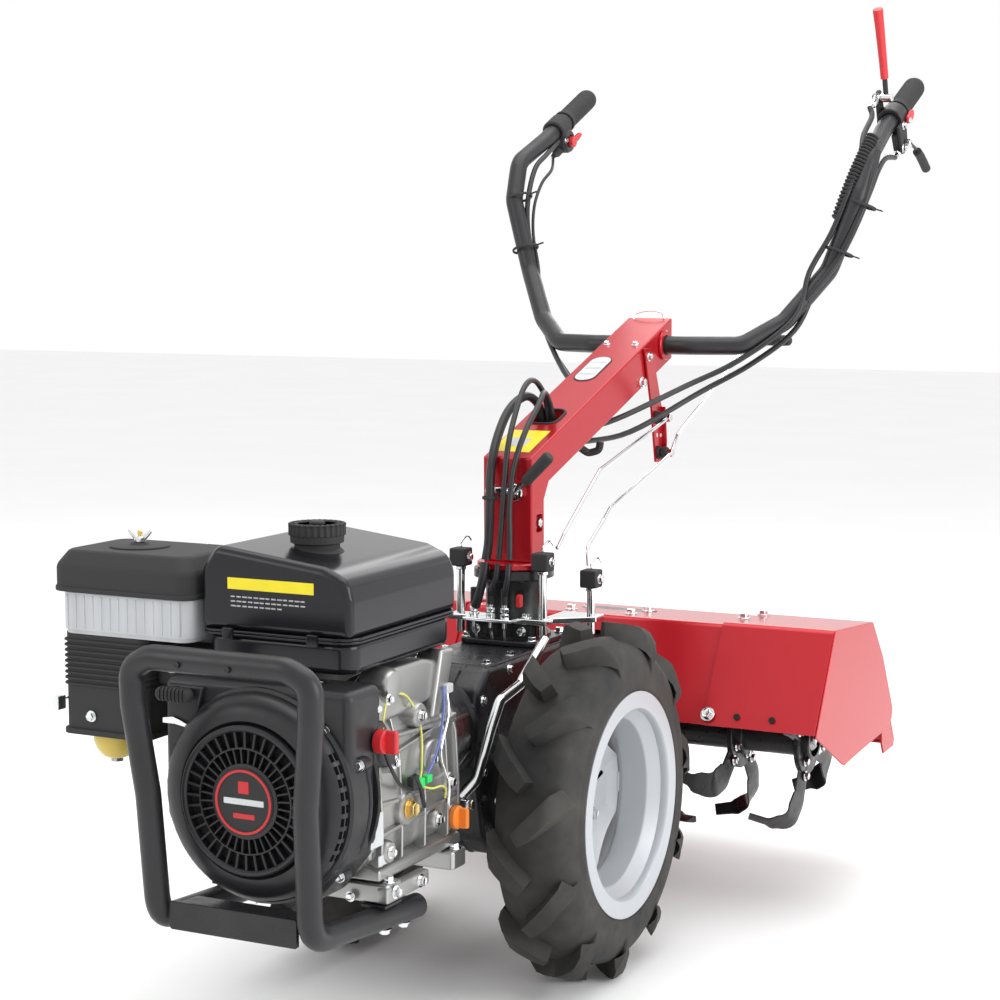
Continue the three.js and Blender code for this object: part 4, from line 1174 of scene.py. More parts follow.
class TILLER_OT_steering(bpy.types.Operator):
    """Adds the red column with its sloping arm, the rod bracket, the lock lever and the front cables"""
    bl_idname = "tiller.steering"
    bl_label = "Steering column"

    def execute(self, context):
        f = finishes(context)
        slope = math.atan(ARM_RISE)
        outline = [(108, 508), (148, 508), (147, 590), (162, 613), (594, 762), (594, 823), ARM_FOOT]
        box = soften(slab("x", outline, -36, 36, f.red), 2.6, 4)
        mouth = rounded_rectangle((-24, 20), (212, 258), 14, 5)
        cut(box, slab("z", mouth, 668, 720, f.red))
        cut(box, slab("x", [(597, 768), (597, 817), (570, 807), (570, 758)], -33, 33, f.red))
        cut(box, soften(slab("x", rounded_rectangle((122, 141), (548, 572), 3, 3), 26, 40, f.red), 0.1))
        # A near-black plate at the bottom of the mouth is painted shade for the hole's depth.
        floor = slab("z", rounded_rectangle((-23.5, 19.5), (212.5, 257.5), 13, 5), 668.3, 669, f.shade)
        lip = pipe([(x, y, arm_top(y) + 0.6) for x, y in mouth + mouth[:1]], 1.8, f.plastic, 2)
        parts = [box, floor, lip]
        # A near-black sheet at the back of the arm's end cut is painted shade.
        parts.append(soften(block((-33, 33), (570, 570.6), (760, 806), f.shade, 0), 0.1))
        base = turned("z", [(0, 500.3), (49, 500.3), (50, 501.5), (50, 507), (48, 508.8), (0, 508.8)],
                      (0, 128), f.red)
        band = ring("x", 15, 22, 36, 41, (560, 783), f.red, 1)
        band_two = ring("x", 15, 22, -41, -36, (560, 783), f.red, 1)
        parts += [base, band, band_two]

        def on_arm(part, y):
            """Lays a part made flat on the ground onto the arm's upper face at y."""
            part.data.transform(Matrix.Translation(at(0, y, arm_top(y))) @ Matrix.Rotation(slope, 4, "X")
                                @ Matrix.Translation(-at(0, 0, 0)))
            return part

        oval = rounded_rectangle((-24, 10), (-46, 46), 16.9, 8)
        rim = slab("z", oval, -0.5, 0.9, f.plastic)
        plate = slab("z", [((x + 7) * 0.9 - 7, y * 0.95) for x, y in oval], 0.2, 1.3, f.label)
        strips = [slab("z", [(-19, y), (5, y), (5, y + w), (-19, y + w)], 1.1, 1.45, f.print)
                  for y, w in ((-24, 5), (-4, 9), (20, 4))]
        parts += [on_arm(part, 399) for part in (soften(rim, 0.4, 2), soften(plate, 0.3, 2), *strips)]
        film = slab("z", [(-33, -38), (24, -38), (24, 32), (-33, 32)], -0.3, 0.3, f.yellow)
        panel = slab("z", [(-20, -20), (8, -20), (8, 6), (-20, 6)], 0.1, 0.5, f.label)
        parts += [on_arm(film, 160), on_arm(panel, 160)]
        rivets = bolts("z", 1, 4.2, [(x, 0, 0) for x in (-26, 20)], f.zinc)
        parts += [on_arm(rivet, 490) for rivet in rivets]
        parts += bolts("x", 1, 6.5, [(36, 477, 731), (30, 134, 560)], f.zinc)
        parts += bolts("x", -1, 6.5, [(-36, 477, 731), (-36, 134, 560)], f.zinc)
        pin = rod("x", 5.5, -27, 17, (104, 604), f.zinc, 1.5, 24)
        sleeve = ring("x", 2, 8, -28, -14, (104, 604), f.zinc, 1.2, 24)
        collar = ring("y", 3, 11.5, 99.5, 107.5, (14, 603), f.zinc, 1.2, 28)
        parts += [pin, sleeve, collar]
        loop = pipe(flowing([(-26, 590, 820), (-24, 592, 828), (-6, 594, 833), (14, 594, 832), (22, 593, 826),
                             (24, 592, 800), (24, 594, 770)]), 1.6, f.zinc, 2)
        hook = pipe(bent([(0, 330, 670), (0, 334, 646), (10, 346, 636), (24, 352, 640),
                          (26, 352, 652)], 8), 5.5,
                    f.plastic, 3)
        parts += [loop, hook]
        hand_over("column_box", parts, "column", ["steering_column"])

        plate = slab("x", [(478, 781), (507, 781), (546, 690), (553, 640), (551, 614), (540, 608), (524, 610),
                           (507, 690)], 37, 40.5, f.red)
        fold = slab("x", [(545, 692), (552, 640), (550, 612), (546, 612), (548, 640),
                          (541, 692)], 40, 47, f.red)
        parts = [soften(plate, 1, 2), soften(fold, 1, 2)]
        parts += [rod("x", 3.2, 40, 40.9, (y, z), f.label, 0.3, 16) for y, z in ((527, 650), (541, 649))]
        parts += [ring("x", 5.2, 9.8, 40.4, 45, (522, 677), f.plastic, 1, 24),
                  ring("x", 5.2, 9.8, 40.4, 45, (531, 624), f.plastic, 1, 24)]
        parts += bolts("x", 1, 5, [(40.4, 494, 768)], f.zinc)
        hand_over("rod_plate", parts, "column", ["rod_bracket"])

        stem = rod("y", 6, 98, 106.4, (14, 603), f.zinc, 1, 24)
        shank = pipe([(14, 98, 603), (36, 96, 622)], 4.2, f.zinc, 3)
        knob = pipe([(32, 96, 618.5), (35, 95.8, 621), (40, 95.4, 626), (58, 94.4, 644), (66, 94, 652),
                     (69, 93.8, 655)],
                    8.3, f.plastic, 5, [0.8, 0.94, 0.92, 1.0, 1.02, 0.8])
        hand_over("swivel_lever", [stem, shank, soften(knob, 2.4, 3, 40)], "lock_lever",
                  ["swivel_lock_lever"])

        routes = [([(-14, 244, 684), (-16, 234, 712), (-22, 206, 724), (-26, 162, 706),
                    (-22, 118, 668), (-17, 92, 630),
                    (-14, 84, 590), (-14, 80, 540), (-16, 76, 514)], 6.2, f.cable),
                  ([(-4, 244, 684), (-6, 236, 722), (-8, 206, 746), (-6, 170, 738),
                    (0, 128, 700), (6, 96, 660), (7, 84, 610), (6, 78, 560), (4, 74, 516)], 3.9, f.cable),
                  ([(6, 242, 684), (4, 230, 714), (8, 204, 730), (17, 168, 716),
                    (20, 120, 682), (18, 92, 640),
                    (16, 82, 590), (18, 78, 550), (20, 74, 516)], 3.9, f.cable)]
        parts = [pipe(flowing(places), radius, material, 4) for places, radius, material in routes]
        tie = ring("z", 9, 11, 594, 598, (-15, 87), f.plastic, 0.5, 20)
        hand_over("column_cables", [*parts, tie], "column", ["front_cables"])

        tails = [([(-15, 72, 511), (-16, 68, 492), (-22, 66, 466), (-28, 68, 452)], 6.2),
                 ([(4, 71, 511), (3, 68, 492), (-4, 68, 474), (-6, 70, 466)], 3.9),
                 ([(20, 71, 511), (20, 68, 492), (16, 69, 474), (14, 71, 466)], 3.9)]
        parts = [pipe(flowing(places), radius, f.cable, 4) for places, radius in tails]
        parts += [pipe(flowing([(x, y, 424), (x * 0.9, y + 4, 410), (x * 0.8, y + 14, 402)]), 2.2, f.zinc, 2)
                  for x, y in ((-30, 68), (-6, 70), (14, 71))]
        hand_over("cable_tails", parts, "chassis")
        return {"FINISHED"}


class TILLER_OT_handlebar(bpy.types.Operator):
    """Adds the handlebar, its grips, levers and switch, and the cables along its tubes"""
    bl_idname = "tiller.handlebar"
    bl_label = "Handlebar and controls"

    def execute(self, context):
        f = finishes(context)
        thin = context.scene.tiller_sizes.cable_radius / MM
        half = [(0, 560, 783), (80, 560, 783), (150, 590, 783), (200, 636, 818), (250, 690, 894),
                (288, 709, 1006), (295, 742, 1068), (288, 828, 1108), (288, 986, 1182)]
        line = bent(half, 42, 8)
        both = [Vector((-p.x, p.y, p.z)) for p in reversed(line)] + line[1:]
        tube = pipe(both, 13.9, f.powder, 6)
        hand_over("handle_tube", [tube], "handlebar", ["handlebar_tube"], 45)

        def fix(parts, side):
            """Moves parts made in a handle end's own millimetres out to that end."""
            move = (Matrix.Translation(at(side * BAR_HALF, *GRIP_END)) @ Matrix.Rotation(GRIP_PITCH, 4, "X")
                    @ Matrix.Translation(-at(0, 0, 0)))
            for part in parts:
                part.data.transform(move)
            return parts

        for name, side in (("left", 1), ("right", -1)):
            sleeve = turned("y", [(14.9, -99), (18.6, -99), (19, -98), (19, -93), (17.6, -91),
                                  (16.9, -88), (16.9, 6),
                                  (15.4, 10.5), (11, 13), (0, 13.6), (0, 0.6), (14.9, 0.6)],
                            (0, 0), f.grip, 40)
            ribs = [ring("y", 16, 17.25, y, y + 1.3, (0, 0), f.grip, 0.5, 40) for y in range(-80, 2, 6)]
            hand_over(f"hand_grip_{name}", fix([sleeve, *ribs], side), "handlebar",
                      [f"grip_{name}"])

        clamp = ring("y", 14.9, 20.6, -139, -107, (0, 0), f.powder, 1.6)
        cheek = soften(slab("x", [(-138, -4), (-108, -4), (-113, 42), (-119, 46), (-127, 46),
                                  (-134, 42)], -20.6, -15.4,
                            f.powder), 1.2, 2)
        lower = soften(slab("x", [(-158, -2), (-116, -2), (-124, -46), (-128, -50), (-148, -50),
                                  (-153, -44)], 15.4,
                            20.6, f.plastic), 1.5, 2)
        shell = soften(slab("x", [(-154, -16), (-120, -16), (-127, -48), (-149, -48)], 4, 15.6, f.plastic), 3)
        fork = [block((-27, -20), (-128, -119), (28, 40), f.powder, 1),
                pipe([(-18, -128, 38), (-18, -141, 44), (-18, -154, 38)], 2.2, f.zinc, 2)]
        spring_line = [(-18 + 4 * math.cos(i * 0.9), -130 - i * 0.42,
                        40 - i * 0.2 + 4 * math.sin(i * 0.9)) for i in range(40)]
        coil = pipe(spring_line, 0.8, f.zinc, 1)
        parts = [clamp, cheek, lower, shell, *fork, coil]
        parts += bolts("x", 1, 5, [(20.4, -136, -8), (20.4, -150, -40)], f.zinc)
        parts += bolts("x", -1, 4.5, [(-20.4, -122, 34)], f.zinc)
        ferrule = [(0, -171), (4.4, -171), (4.4, -160), (6, -158), (6, -150), (0, -150)]
        parts += [turned("y", ferrule, spot, f.zinc, 20) for spot in ((12, -46), (-18, 36))]
        hand_over("lever_bracket", fix(parts, 1), "handlebar", ["clutch_bracket"])

        blade = pipe([(-6, -123, 34), (-6, -122, 50), (-6, -118.6, 72)], 4.2, f.powder, 2)
        skin = pipe(bent([(-6, -120, 64), (-6.4, -117, 90), (-7.4, -112, 140), (-8, -110, 164),
                          (-8, -109.7, 172)], 16),
                    8.6, f.red_plastic, 6)
        foot = at(0, 0, 60).z
        for vertex in skin.data.vertices:
            share = max(0.0, min(1.0, (vertex.co.z - foot) / (112 * MM)))
            axis_y = at(0, -120 + 10.5 * share, 0).y
            wide = 0.86 + 0.26 * share ** 1.6
            vertex.co.y = axis_y + (vertex.co.y - axis_y) * wide
            vertex.co.x = (vertex.co.x + 6.8 * MM) * wide * 0.82 - 6.8 * MM
        soften(skin, 4.5, 4, 40)
        pivot = rod("x", 7, -14.6, 4, (-123, 34), f.zinc, 1, 28)
        hand_over("clutch_handle", fix([blade, skin, pivot], 1), "clutch_hand_lever",
                  ["clutch_lever"])

        arm = pipe(bent([(28, -136, -37), (29, -118, -52), (29.5, -104, -66)], 12), 2.6, f.powder, 3)
        knob = pipe(bent([(29.3, -109, -62), (30, -98, -74), (30, -84, -92), (30, -73, -107)], 14, 6),
                    7.2, f.plastic, 5)
        boss = rod("x", 7, 21.4, 30, (-136, -37), f.zinc, 1, 28)
        hand_over("brake_handle", fix([arm, soften(knob, 2.5, 3, 40), boss], 1), "brake_hand_lever",
                  ["brake_lever"])

        tongue = slab("x", [(-126, -8), (-118, -12), (-98, -10), (-93, -3), (-95, 3), (-106, 4),
                            (-124, 1)], 21.4, 27,
                      f.red_plastic)
        boss = rod("x", 5, 21.4, 28.6, (-120, -6), f.zinc, 0.8, 24)
        hand_over("catch_tongue", fix([soften(tongue, 2, 4), boss], 1), "catch",
                  ["safety_catch"])

        case = turned("x", [(0, -10), (17, -10), (20, -7), (20, 15), (17, 18.6), (0, 18.6)],
                      (-126, -22), f.plastic, 36)
        clamp = ring("y", 14.9, 20, -144, -108, (0, 0), f.plastic, 2)
        pale = ring("y", 14.9, 16.4, -108, -100, (0, 0), f.grip, 0.6)
        snout = turned("y", [(0, -168), (4, -168), (5, -160), (7.5, -154), (7.5, -140), (0, -140)],
                       (4, -32), f.plastic, 24)
        cover = ring("x", 9.6, 18.5, 17, 20, (-126, -22), f.powder, 1.4)
        parts = [case, clamp, pale, snout, cover, *bolts("x", 1, 3.4,
                                                         [(18.6, -140, -16), (18.6, -113, -32)], f.zinc)]
        hand_over("throttle_case", fix(parts, -1), "handlebar", ["throttle_housing"])
        dial = turned("x", [(0, 20.4), (8.6, 20.4), (8.9, 21), (8.9, 27), (7.6, 28), (0, 28)], (-126, -24),
                      f.red_plastic, 32)
        tab = slab("x", [(-128, -27.5), (-108, -28.5), (-94, -26), (-92, -23), (-96, -19.5),
                         (-112, -18.5), (-128, -18)],
                   21.2, 27.6, f.red_plastic)
        hand_over("throttle_tab", fix([dial, soften(tab, 1.8, 4)], -1), "throttle",
                  ["throttle_lever"])

        place = on_handle(1)
        upper = place(-18, -170, 36)
        under = place(12, -170, -46)
        x = BAR_HALF
        routes = [([upper, (x - 12, 806, 1128), (x - 10, 760, 1098), (x - 4, 726, 1066), (x - 13, 700, 1012),
                    (x - 34, 686, 950), (x - 60, 664, 892), (218, 628, 824), (150, 578, 762), (84, 530, 724),
                    (20, 420, 680), (-8, 330, 668)], thin),
                  ([under, (x + 14, 796, 1064), (x + 16, 752, 1044), (x + 15, 722, 1016), (x + 6, 706, 982),
                    (x - 14, 694, 930), (x - 50, 672, 872), (214, 642, 806), (160, 606, 756), (96, 560, 714),
                    (30, 450, 660), (2, 330, 652)], thin),
                  ([(x + 18, 742, 1072), (x + 15, 716, 1022), (x + 4, 698, 972), (x - 24, 680, 906),
                    (x - 60, 652, 850)],
                   thin + 1.4)]
        parts = [pipe(flowing(places), radius, f.cable, 4) for places, radius in routes]
        start, end = Vector((x + 6, 757, 1092)), Vector((x - 30, 706, 970))
        bulges = 24
        for i in range(bulges):
            share = i / (bulges - 1)
            spot = start.lerp(end, share) + Vector((4, -18, 8)) * (0.4 + 0.6 * math.sin(math.pi * share))
            bulge = ring("z", 4.2, 10.2, -2.2, 2.2, (0, 0), f.plastic, 1.8, 16)
            parts.append(facing(bulge, spot, end - start))
        other = -x
        switch = on_handle(-1)(4, -168, -32)
        routes = [([(other + 11, 852, 1106), (other + 14, 800, 1082), (other + 15, 756, 1058),
                    (other + 19, 722, 1010),
                    (other + 26, 706, 962), (other + 44, 690, 906), (-218, 654, 842), (-182, 612, 792),
                    (-130, 560, 742), (-70, 500, 706), (-12, 410, 688)], thin),
                  ([switch, (other + 24, 800, 1058), (other + 24, 762, 1034), (other + 27, 728, 996),
                    (other + 34, 710, 950), (other + 52, 692, 898), (-212, 652, 832), (-174, 606, 780),
                    (-112, 552, 730), (-60, 494, 700), (0, 400, 690)], thin - 1.6)]
        parts += [pipe(flowing(places), radius, f.cable, 4) for places, radius in routes]
        ties = [(other + 6, 716, 1010), (other + 28, 694, 928), (x + 6, 710, 992), (x - 22, 690, 922)]
        for spot in ties:
            tie = ring("z", 19.6, 21.6, -2, 2, (0, 0), f.plastic, 0.6, 28)
            tail = block((20, 33), (-2, 2), (-1, 1), f.plastic, 0.6, 1)
            lean = Vector((math.copysign(0.32, spot[0]), 0.2, 1))
            parts += [facing(part, spot, lean) for part in (tie, tail)]
        hand_over("bar_cables", parts, "handlebar", ["handle_cables"])
        return {"FINISHED"}


class TILLER_OT_linkage(bpy.types.Operator):
    """Adds the selector blocks, the two gear rods and the drive lever"""
    bl_idname = "tiller.linkage"
    bl_label = "Gear linkage"

    def execute(self, context):
        f = finishes(context)
        for name, x, y, top in (("left", 103, 152, 499), ("middle", 60, 92, 526), ("right", -62, 92, 526)):
            shaft = rod("z", 5.8, 412, top - 20, (x, y), f.zinc, 1, 24)
            cube = block((x - 12, x + 12), (y - 12, y + 12), (top - 24, top), f.plastic, 2.4, 4)
            nut = soften(slab("z", [(a + x, b + y) for a, b in hexagon(8)], top - 29, top - 24.3, f.zinc), 1)
            tip = pipe(flowing([(x, y, top - 3), (x + 1, y, top + 8), (x + 8, y + 4, top + 16),
                                (x + 13, y + 6, top + 10)]),
                       1.4, f.zinc, 2)
            parts = [shaft, cube, nut, tip]
            parts += bolts("x", 1, 5, [(x + 12, y, top - 12)], f.zinc)
            hand_over(f"selector_{name}_piece", parts, f"selector_{name}",
                      [f"selector_shaft_{name}"])

        upper = pipe(bent([(72, 112, 531), (62, 152, 543), (60, 275, 620), (60, 522, 677)],
                          14), 2.8, f.zinc, 4)
        eye = ring("x", 3, 8.6, 47, 57, (522, 677), f.plastic, 1.6, 28)
        ends = [eye, rod("x", 4, 46.4, 64, (522, 677), f.zinc, 1, 24),
                soften(slab("x", [(a + 522, b + 677) for a, b in hexagon(7)], 58, 65, f.zinc), 1)]
        hand_over("upper_rod", [upper, *ends], "gear_rod_upper", ["upper_gear_rod"])

        lower = pipe(bent([(100, 150, 504), (96, 154, 528), (88, 226, 557), (80, 265, 569), (62, 531, 624),
                           (60, 560, 650), (126, 690, 788)], 16), 2.8, f.zinc, 4)
        eye = ring("x", 3, 8.6, 47, 57, (531, 624), f.plastic, 1.6, 28)
        grip = turned("x", [(0, 124), (6.4, 124), (7.4, 126), (8, 140), (8.3, 180), (7.6, 189),
                            (4.5, 192), (0, 192)],
                      (690, 788), f.plastic, 32)
        ends = [eye, rod("x", 4, 46.4, 64, (531, 624), f.zinc, 1, 24), grip,
                soften(slab("x", [(a + 531, b + 624) for a, b in hexagon(7)], 58, 65, f.zinc), 1)]
        hand_over("lower_rod", [lower, *ends], "gear_rod_lower", ["lower_gear_rod"])

        places = bent([(84, -190, 262), (97, -171, 281), (95, -130, 335), (95, -103, 367),
                       (95, -47, 377), (95, 26, 423)],
                      16)
        lever = pipe(places, 6.8, f.zinc, 5)
        hand_over("side_lever", [lever], "drive_hand_lever", ["drive_lever"])
        clevis = [block((84, 98), (-200, -188), (250, 262), f.zinc, 2),
                  rod("x", 4, 78, 104, (-194, 256), f.gold, 1, 20)]
        clevis += bolts("x", 1, 6, [(98, -194, 256)], f.zinc)
        hand_over("lever_clevis", clevis, "chassis")
        return {"FINISHED"}


# ---- tiller ----
HOOD = [(306, 269), (384, 396), (554, 382), (605, 330)]


def hood_sheet(lift, low, high, material):
    """The hood's bent sheet, raised by lift, with its folds rounded."""
    rise = [(306 - lift, 269), (384 - lift * 0.8, 396 + lift), (554 + lift * 0.4, 382 + lift),
            (605 + lift, 330 + lift * 0.4)]
    inner = bent([(y, z, 0) for y, z in rise], 9, 5)
    lift += 3
    rise = [(306 - lift, 269), (384 - lift * 0.8, 396 + lift), (554 + lift * 0.4, 382 + lift),
            (605 + lift, 330 + lift * 0.4)]
    outer = bent([(y, z, 0) for y, z in rise], 12, 5)
    outline = [(p.x, p.y) for p in inner] + [(p.x, p.y) for p in reversed(outer)]
    return soften(slab("x", outline, low, high, material), 0.9, 2, 40)


class TILLER_OT_tiller_hood(bpy.types.Operator):
    """Adds the hood, its lapped ends with their side plates, and the rear flap"""
    bl_idname = "tiller.hood"
    bl_label = "Tiller hood"

    def execute(self, context):
        f = finishes(context)
        hood = hood_sheet(0, -224, 224, f.red)
        cut(hood, slab("y", [(-39, 378), (-39, 270), (39, 270), (39, 378)], 250, 376, f.red))
        stiffener = [soften(slab("x", [(308, 269), (314, 269), (324, 288), (320, 290)], *pair, f.red), 0.8, 2)
                     for pair in ((-222, -42), (42, 222))]
        parts = [hood, *stiffener]
        parts += bolts("z", 1, 7, [(-48, 480, 391.6), (48, 480, 391.6), (-48, 416, 396.8),
                                   (48, 416, 396.8)], f.zinc)
        parts.append(block((-58, 58), (404, 492), (385, 392), f.casting, 2))
        parts += bolts("x", 1, 5, [(39, 366, 352)], f.zinc)
        hand_over("hood_middle", parts, "chassis", ["tiller_hood"])

        side = [(303, 266), (381, 402), (556, 388), (609, 328), (663, 241), (658, 226),
                (624, 215), (502, 207), (446, 203), (432, 201), (420, 206), (311, 262)]
        for name, sign in (("left", 1), ("right", -1)):
            cap = hood_sheet(3.3, *sorted((sign * 205, sign * 368)), f.red)
            plate = [(p.x, p.y) for p in bent([(*p, 0) for p in side + side[:1]], 7, 4)][:-1]
            face = soften(slab("x", plate, *sorted((sign * 367, sign * 370)), f.red), 1.1, 3)
            parts = [cap, face]
            normal = Vector((0, -0.852, 0.523))
            for x in (254, 305):
                spot = Vector((sign * x, 308, 283)) + normal * 2
                # The holes are near-black discs on the sheet, painted shade.
                hole = ring("z", 0.1, 4.6, -0.8, 0.9, (0, 0), f.shade, 0.2, 20)
                parts.append(facing(hole, spot, normal))
            lap = bolts("z", 1, 7.5, [(0, 0, 0)], f.zinc)[0]
            parts.append(facing(lap, (sign * 212, 304.2, 284), normal))
            parts += bolts("z", 1, 7, [(sign * 214, 440, 399.2), (sign * 214, 520, 392.4)], f.zinc)
            parts += bolts("x", -sign, 5, [(sign * 367, 420, 330), (sign * 367, 540, 320)], f.zinc)
            hand_over(f"hood_end_{name}", parts, "chassis", [f"hood_extension_{name}"])

        flap = slab("y", [(-364, 322), (364, 322), (364, 190), (352, 180), (-352, 180),
                          (-364, 190)], 0, 3, f.red)
        low, high = at(0, 0, 180), at(0, 0, 322)
        for vertex in flap.data.vertices:
            share = (high.z - vertex.co.z) / (high.z - low.z)
            vertex.co.y += (612 + 80 * share - 1.5) * MM
        soften(flap, 1, 2)
        wing = [(612, 322), (616, 322), (694, 188), (690, 178), (640, 176), (630, 192)]
        wings = [soften(slab("x", wing, *pair, f.red), 0.8, 2) for pair in ((361, 364), (-364, -361))]
        hinge = rod("x", 5.4, -350, 350, (615, 324), f.red, 1, 24)
        knuckles = [ring("x", 4, 7.2, x, x + 40, (615, 324), f.red, 1, 24) for x in range(-340, 320, 80)]
        hem = rod("x", 3.4, -352, 352, (690.5, 183), f.red, 1, 16)
        hand_over("flap_sheet", [flap, *wings, hinge, *knuckles, hem], "flap", ["rear_flap"])
        return {"FINISHED"}


class TILLER_OT_rotor(bpy.types.Operator):
    """Adds the rotor's shaft and its bolted tines"""
    bl_idname = "tiller.rotor"
    bl_label = "Rotor"

    def execute(self, context):
        f = finishes(context)
        centre = (ROTOR_Y, ROTOR_Z)
        axis = at(0, ROTOR_Y, ROTOR_Z)
        shaft = turned("x", [(0, -318), (12, -318), (15, -315), (15, -15), (62, -14), (64, -12),
                             (64, 12), (62, 14), (15, 15), (15, 315), (12, 318), (0, 318)], centre, f.steel)
        hand_over("rotor_bar", [shaft], "rotor", ["rotor_shaft"])

        def tine(x, inward):
            """A curved blade that runs out from its disc and turns across at its tip."""
            line = bent([(x, 0, -26), (x, 6, -84), (x + inward * 2, -8, -122), (x + inward * 24, -22, -131.5),
                         (x + inward * 52, -34, -129)], 26, 7)
            settle()
            bpy.ops.mesh.primitive_plane_add(size=1)
            obj = bpy.context.object
            shape = bmesh.new()
            rows = []
            for i, spot in enumerate(line):
                ahead = (line[min(i + 1, len(line) - 1)] - line[max(i - 1, 0)]).normalized()
                share = i / (len(line) - 1)
                waist = 1 - 0.35 * max(0, share - 0.8) / 0.2
                wide = (15 + 5 * math.sin(math.pi * min(1, share * 1.15))) * waist
                across = Vector((0, 1, 0)) - ahead * ahead.y
                across.normalize()
                thin = ahead.cross(across).normalized()
                corner = [spot + across * wide * a + thin * t * b for a, t, b in
                          ((-1, 1.2, 1), (0.4, 4.6, 1), (1, 4.6, 1), (1, 4.6, -1),
                           (0.4, 4.6, -1), (-1, 1.2, -1))]
                rows.append([shape.verts.new(at(p.x, p.y + ROTOR_Y, p.z + ROTOR_Z)) for p in corner])
            for low, high in zip(rows, rows[1:]):
                for i in range(6):
                    shape.faces.new((low[i], low[(i + 1) % 6], high[(i + 1) % 6], high[i]))
            shape.faces.new(rows[0])
            shape.faces.new(rows[-1][::-1])
            shape.to_mesh(obj.data)
            shape.free()
            edit(obj)
            close(obj)
            soften(obj, 1, 2, 40)
            lugs = bolts("x", 1, 5.5, [(x + 5, ROTOR_Y + y, ROTOR_Z - z) for y,
                                       z in ((-5, 34), (6, 52))], f.zinc)
            return join([paint(obj, f.casting), *lugs])

        stations = [(92, 1), (206, -1), (306, -1)]
        for name, sign in (("left", 1), ("right", -1)):
            parts = [ring("x", 15.6, 24, 48, 312, centre, f.casting, 1.2)]
            for i, (x, inward) in enumerate(stations):
                parts.append(ring("x", 23, 50, x - 4, x + 4, centre, f.casting, 1))
                parts.append(ring("x", 23, 30, x - 12, x + 12, centre, f.casting, 2))
                parts += around(tine(x, inward), "x", axis, 4, 30 * i)
            parts += bolts("x", 1, 8, [(312, ROTOR_Y, ROTOR_Z)], f.zinc)
            piece = join(parts)
            if sign < 0:
                piece.data.transform(Matrix.Scale(-1, 4, UNIT["x"]))
                piece.data.flip_normals()
            hand_over(f"rotor_{name}_piece", [piece], "rotor", [f"rotor_{name}"])
        return {"FINISHED"}


class TILLER_OT_inner_parts(bpy.types.Operator):
    """Gives the frame's turning parts inside the machine their finishes"""
    bl_idname = "tiller.inner_parts"
    bl_label = "Inner parts"

    def execute(self, context):
        f = finishes(context)
        for node, material in (("crankshaft", f.steel), ("flywheel_fan", f.alloy), ("clutch_drum", f.steel),
                               ("worm_shaft", f.steel), ("axle_gear", f.machined)):
            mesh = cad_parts[node].data
            mesh.materials.clear()
            mesh.materials.append(material)
        return {"FINISHED"}


# ---- stage ----
CAMERA_SPOT = (1296.3, -2490.3, 910.0)
CAMERA_TURN = 26.712
CAMERA_DOWN = 6.257


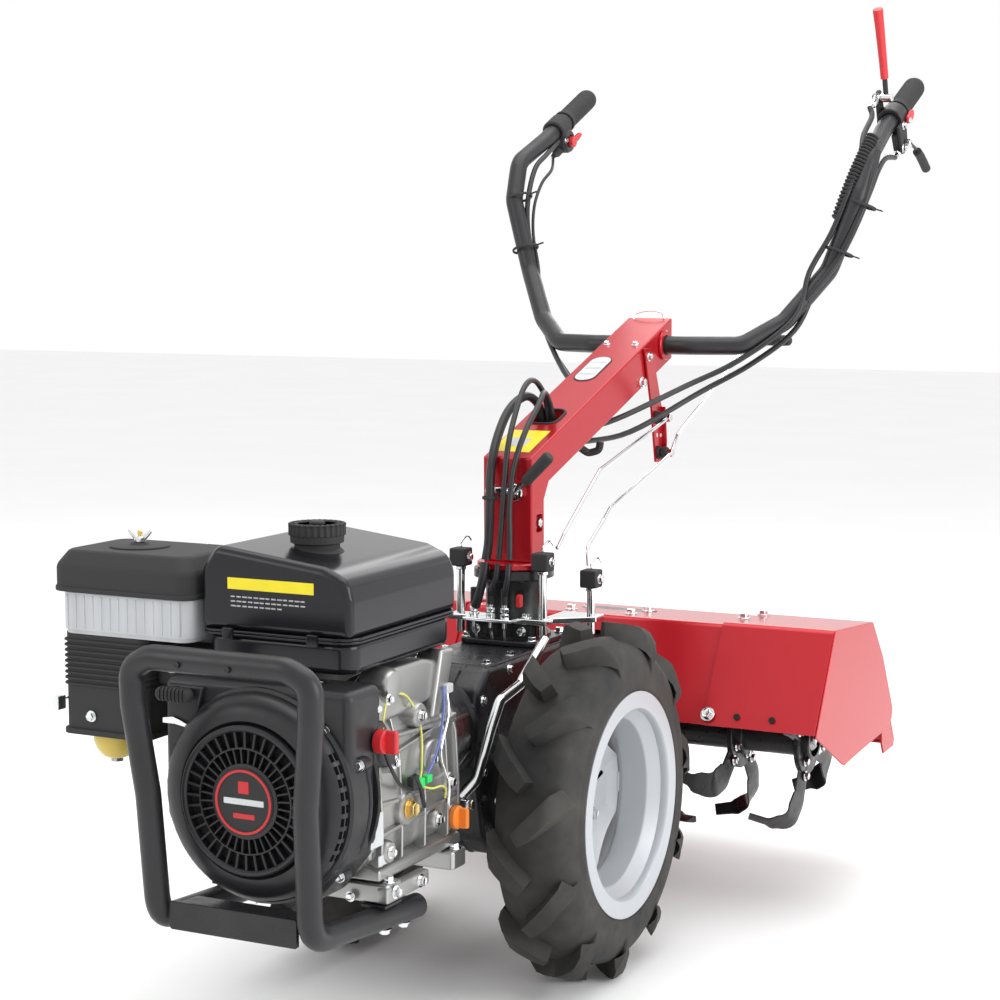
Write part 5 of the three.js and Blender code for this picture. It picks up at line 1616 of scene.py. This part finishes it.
class TILLER_OT_stage(bpy.types.Operator):
    """Adds the floor, the soft lights and the camera"""
    bl_idname = "tiller.stage"
    bl_label = "Stage"

    def execute(self, context):
        settle()
        scene = context.scene
        bpy.ops.mesh.primitive_plane_add(size=30, location=(0, 0, 0))
        floor = context.object
        floor.name = "floor"
        paint(floor, surface("pale_floor", (0.9, 0.9, 0.9), (0.75, 0.85), [(30, 0.02, None)], 0.01, 2))

        world = bpy.data.worlds.new("studio")
        world.use_nodes = True
        world.node_tree.nodes["Background"].inputs["Color"].default_value = (1, 1, 1, 1)
        world.node_tree.nodes["Background"].inputs["Strength"].default_value = 1.0
        scene.world = world
        scene.view_settings.view_transform = "Standard"
        lights = [("top", (0.2, 0.3, 3.2), (0, 0, 0.4), 3.2, 60),
                  ("side", (3.4, -0.2, 1.5), (0, 0.2, 0.5), 2.2, 60),
                  ("front", (-2.2, -3.2, 2.2), (0, 0, 0.5), 1.8, 18),
                  ("back", (-0.5, 3.4, 2.2), (0, 0.4, 0.6), 2.0, 25)]
        for name, spot, target, size, power in lights:
            bpy.ops.object.light_add(type="AREA", location=spot)
            lamp = context.object
            lamp.name = f"light_{name}"
            lamp.data.size = size
            lamp.data.energy = power
            lamp.rotation_euler = (Vector(target) - Vector(spot)).to_track_quat("-Z", "Y").to_euler()

        bpy.ops.object.camera_add(location=at(*CAMERA_SPOT))
        camera = context.object
        turn, down = math.radians(CAMERA_TURN), math.radians(CAMERA_DOWN)
        aim = Vector((-math.sin(turn) * math.cos(down), math.cos(turn) * math.cos(down), -math.sin(down)))
        camera.rotation_euler = aim.to_track_quat("-Z", "Y").to_euler()
        camera.data.lens = scene.tiller_sizes.camera_lens
        camera.data.sensor_width = 36
        scene.camera = camera
        return {"FINISHED"}


OPERATORS = (TILLER_OT_stage, TILLER_OT_tank, TILLER_OT_air_cleaner, TILLER_OT_blower, TILLER_OT_engine,
             TILLER_OT_guard, TILLER_OT_transmission, TILLER_OT_wheels, TILLER_OT_steering,
             TILLER_OT_handlebar,
             TILLER_OT_linkage, TILLER_OT_tiller_hood, TILLER_OT_rotor, TILLER_OT_inner_parts)


class TILLER_PT_panel(bpy.types.Panel):
    """Lists the machine's pieces"""
    bl_idname = "TILLER_PT_panel"
    bl_label = "Two-wheel tiller"
    bl_space_type = "VIEW_3D"
    bl_region_type = "UI"
    bl_category = "Tiller"

    def draw(self, context):
        for group in (context.scene.tiller_colours, context.scene.tiller_sizes):
            for name in group.__annotations__:
                self.layout.prop(group, name)
        for operator in OPERATORS:
            self.layout.operator(operator.bl_idname)


CLASSES = (TillerColours, TillerSizes, *OPERATORS, TILLER_PT_panel)


def register():
    for cls in CLASSES:
        bpy.utils.register_class(cls)
    bpy.types.Scene.tiller_colours = bpy.props.PointerProperty(type=TillerColours)
    bpy.types.Scene.tiller_sizes = bpy.props.PointerProperty(type=TillerSizes)


def unregister():
    del bpy.types.Scene.tiller_sizes
    del bpy.types.Scene.tiller_colours
    for cls in reversed(CLASSES):
        bpy.utils.unregister_class(cls)


def main():
    register()
    for operator in OPERATORS:
        group, name = operator.bl_idname.split(".")
        getattr(getattr(bpy.ops, group), name)()
    settle()


if __name__ == "__main__":
    main()
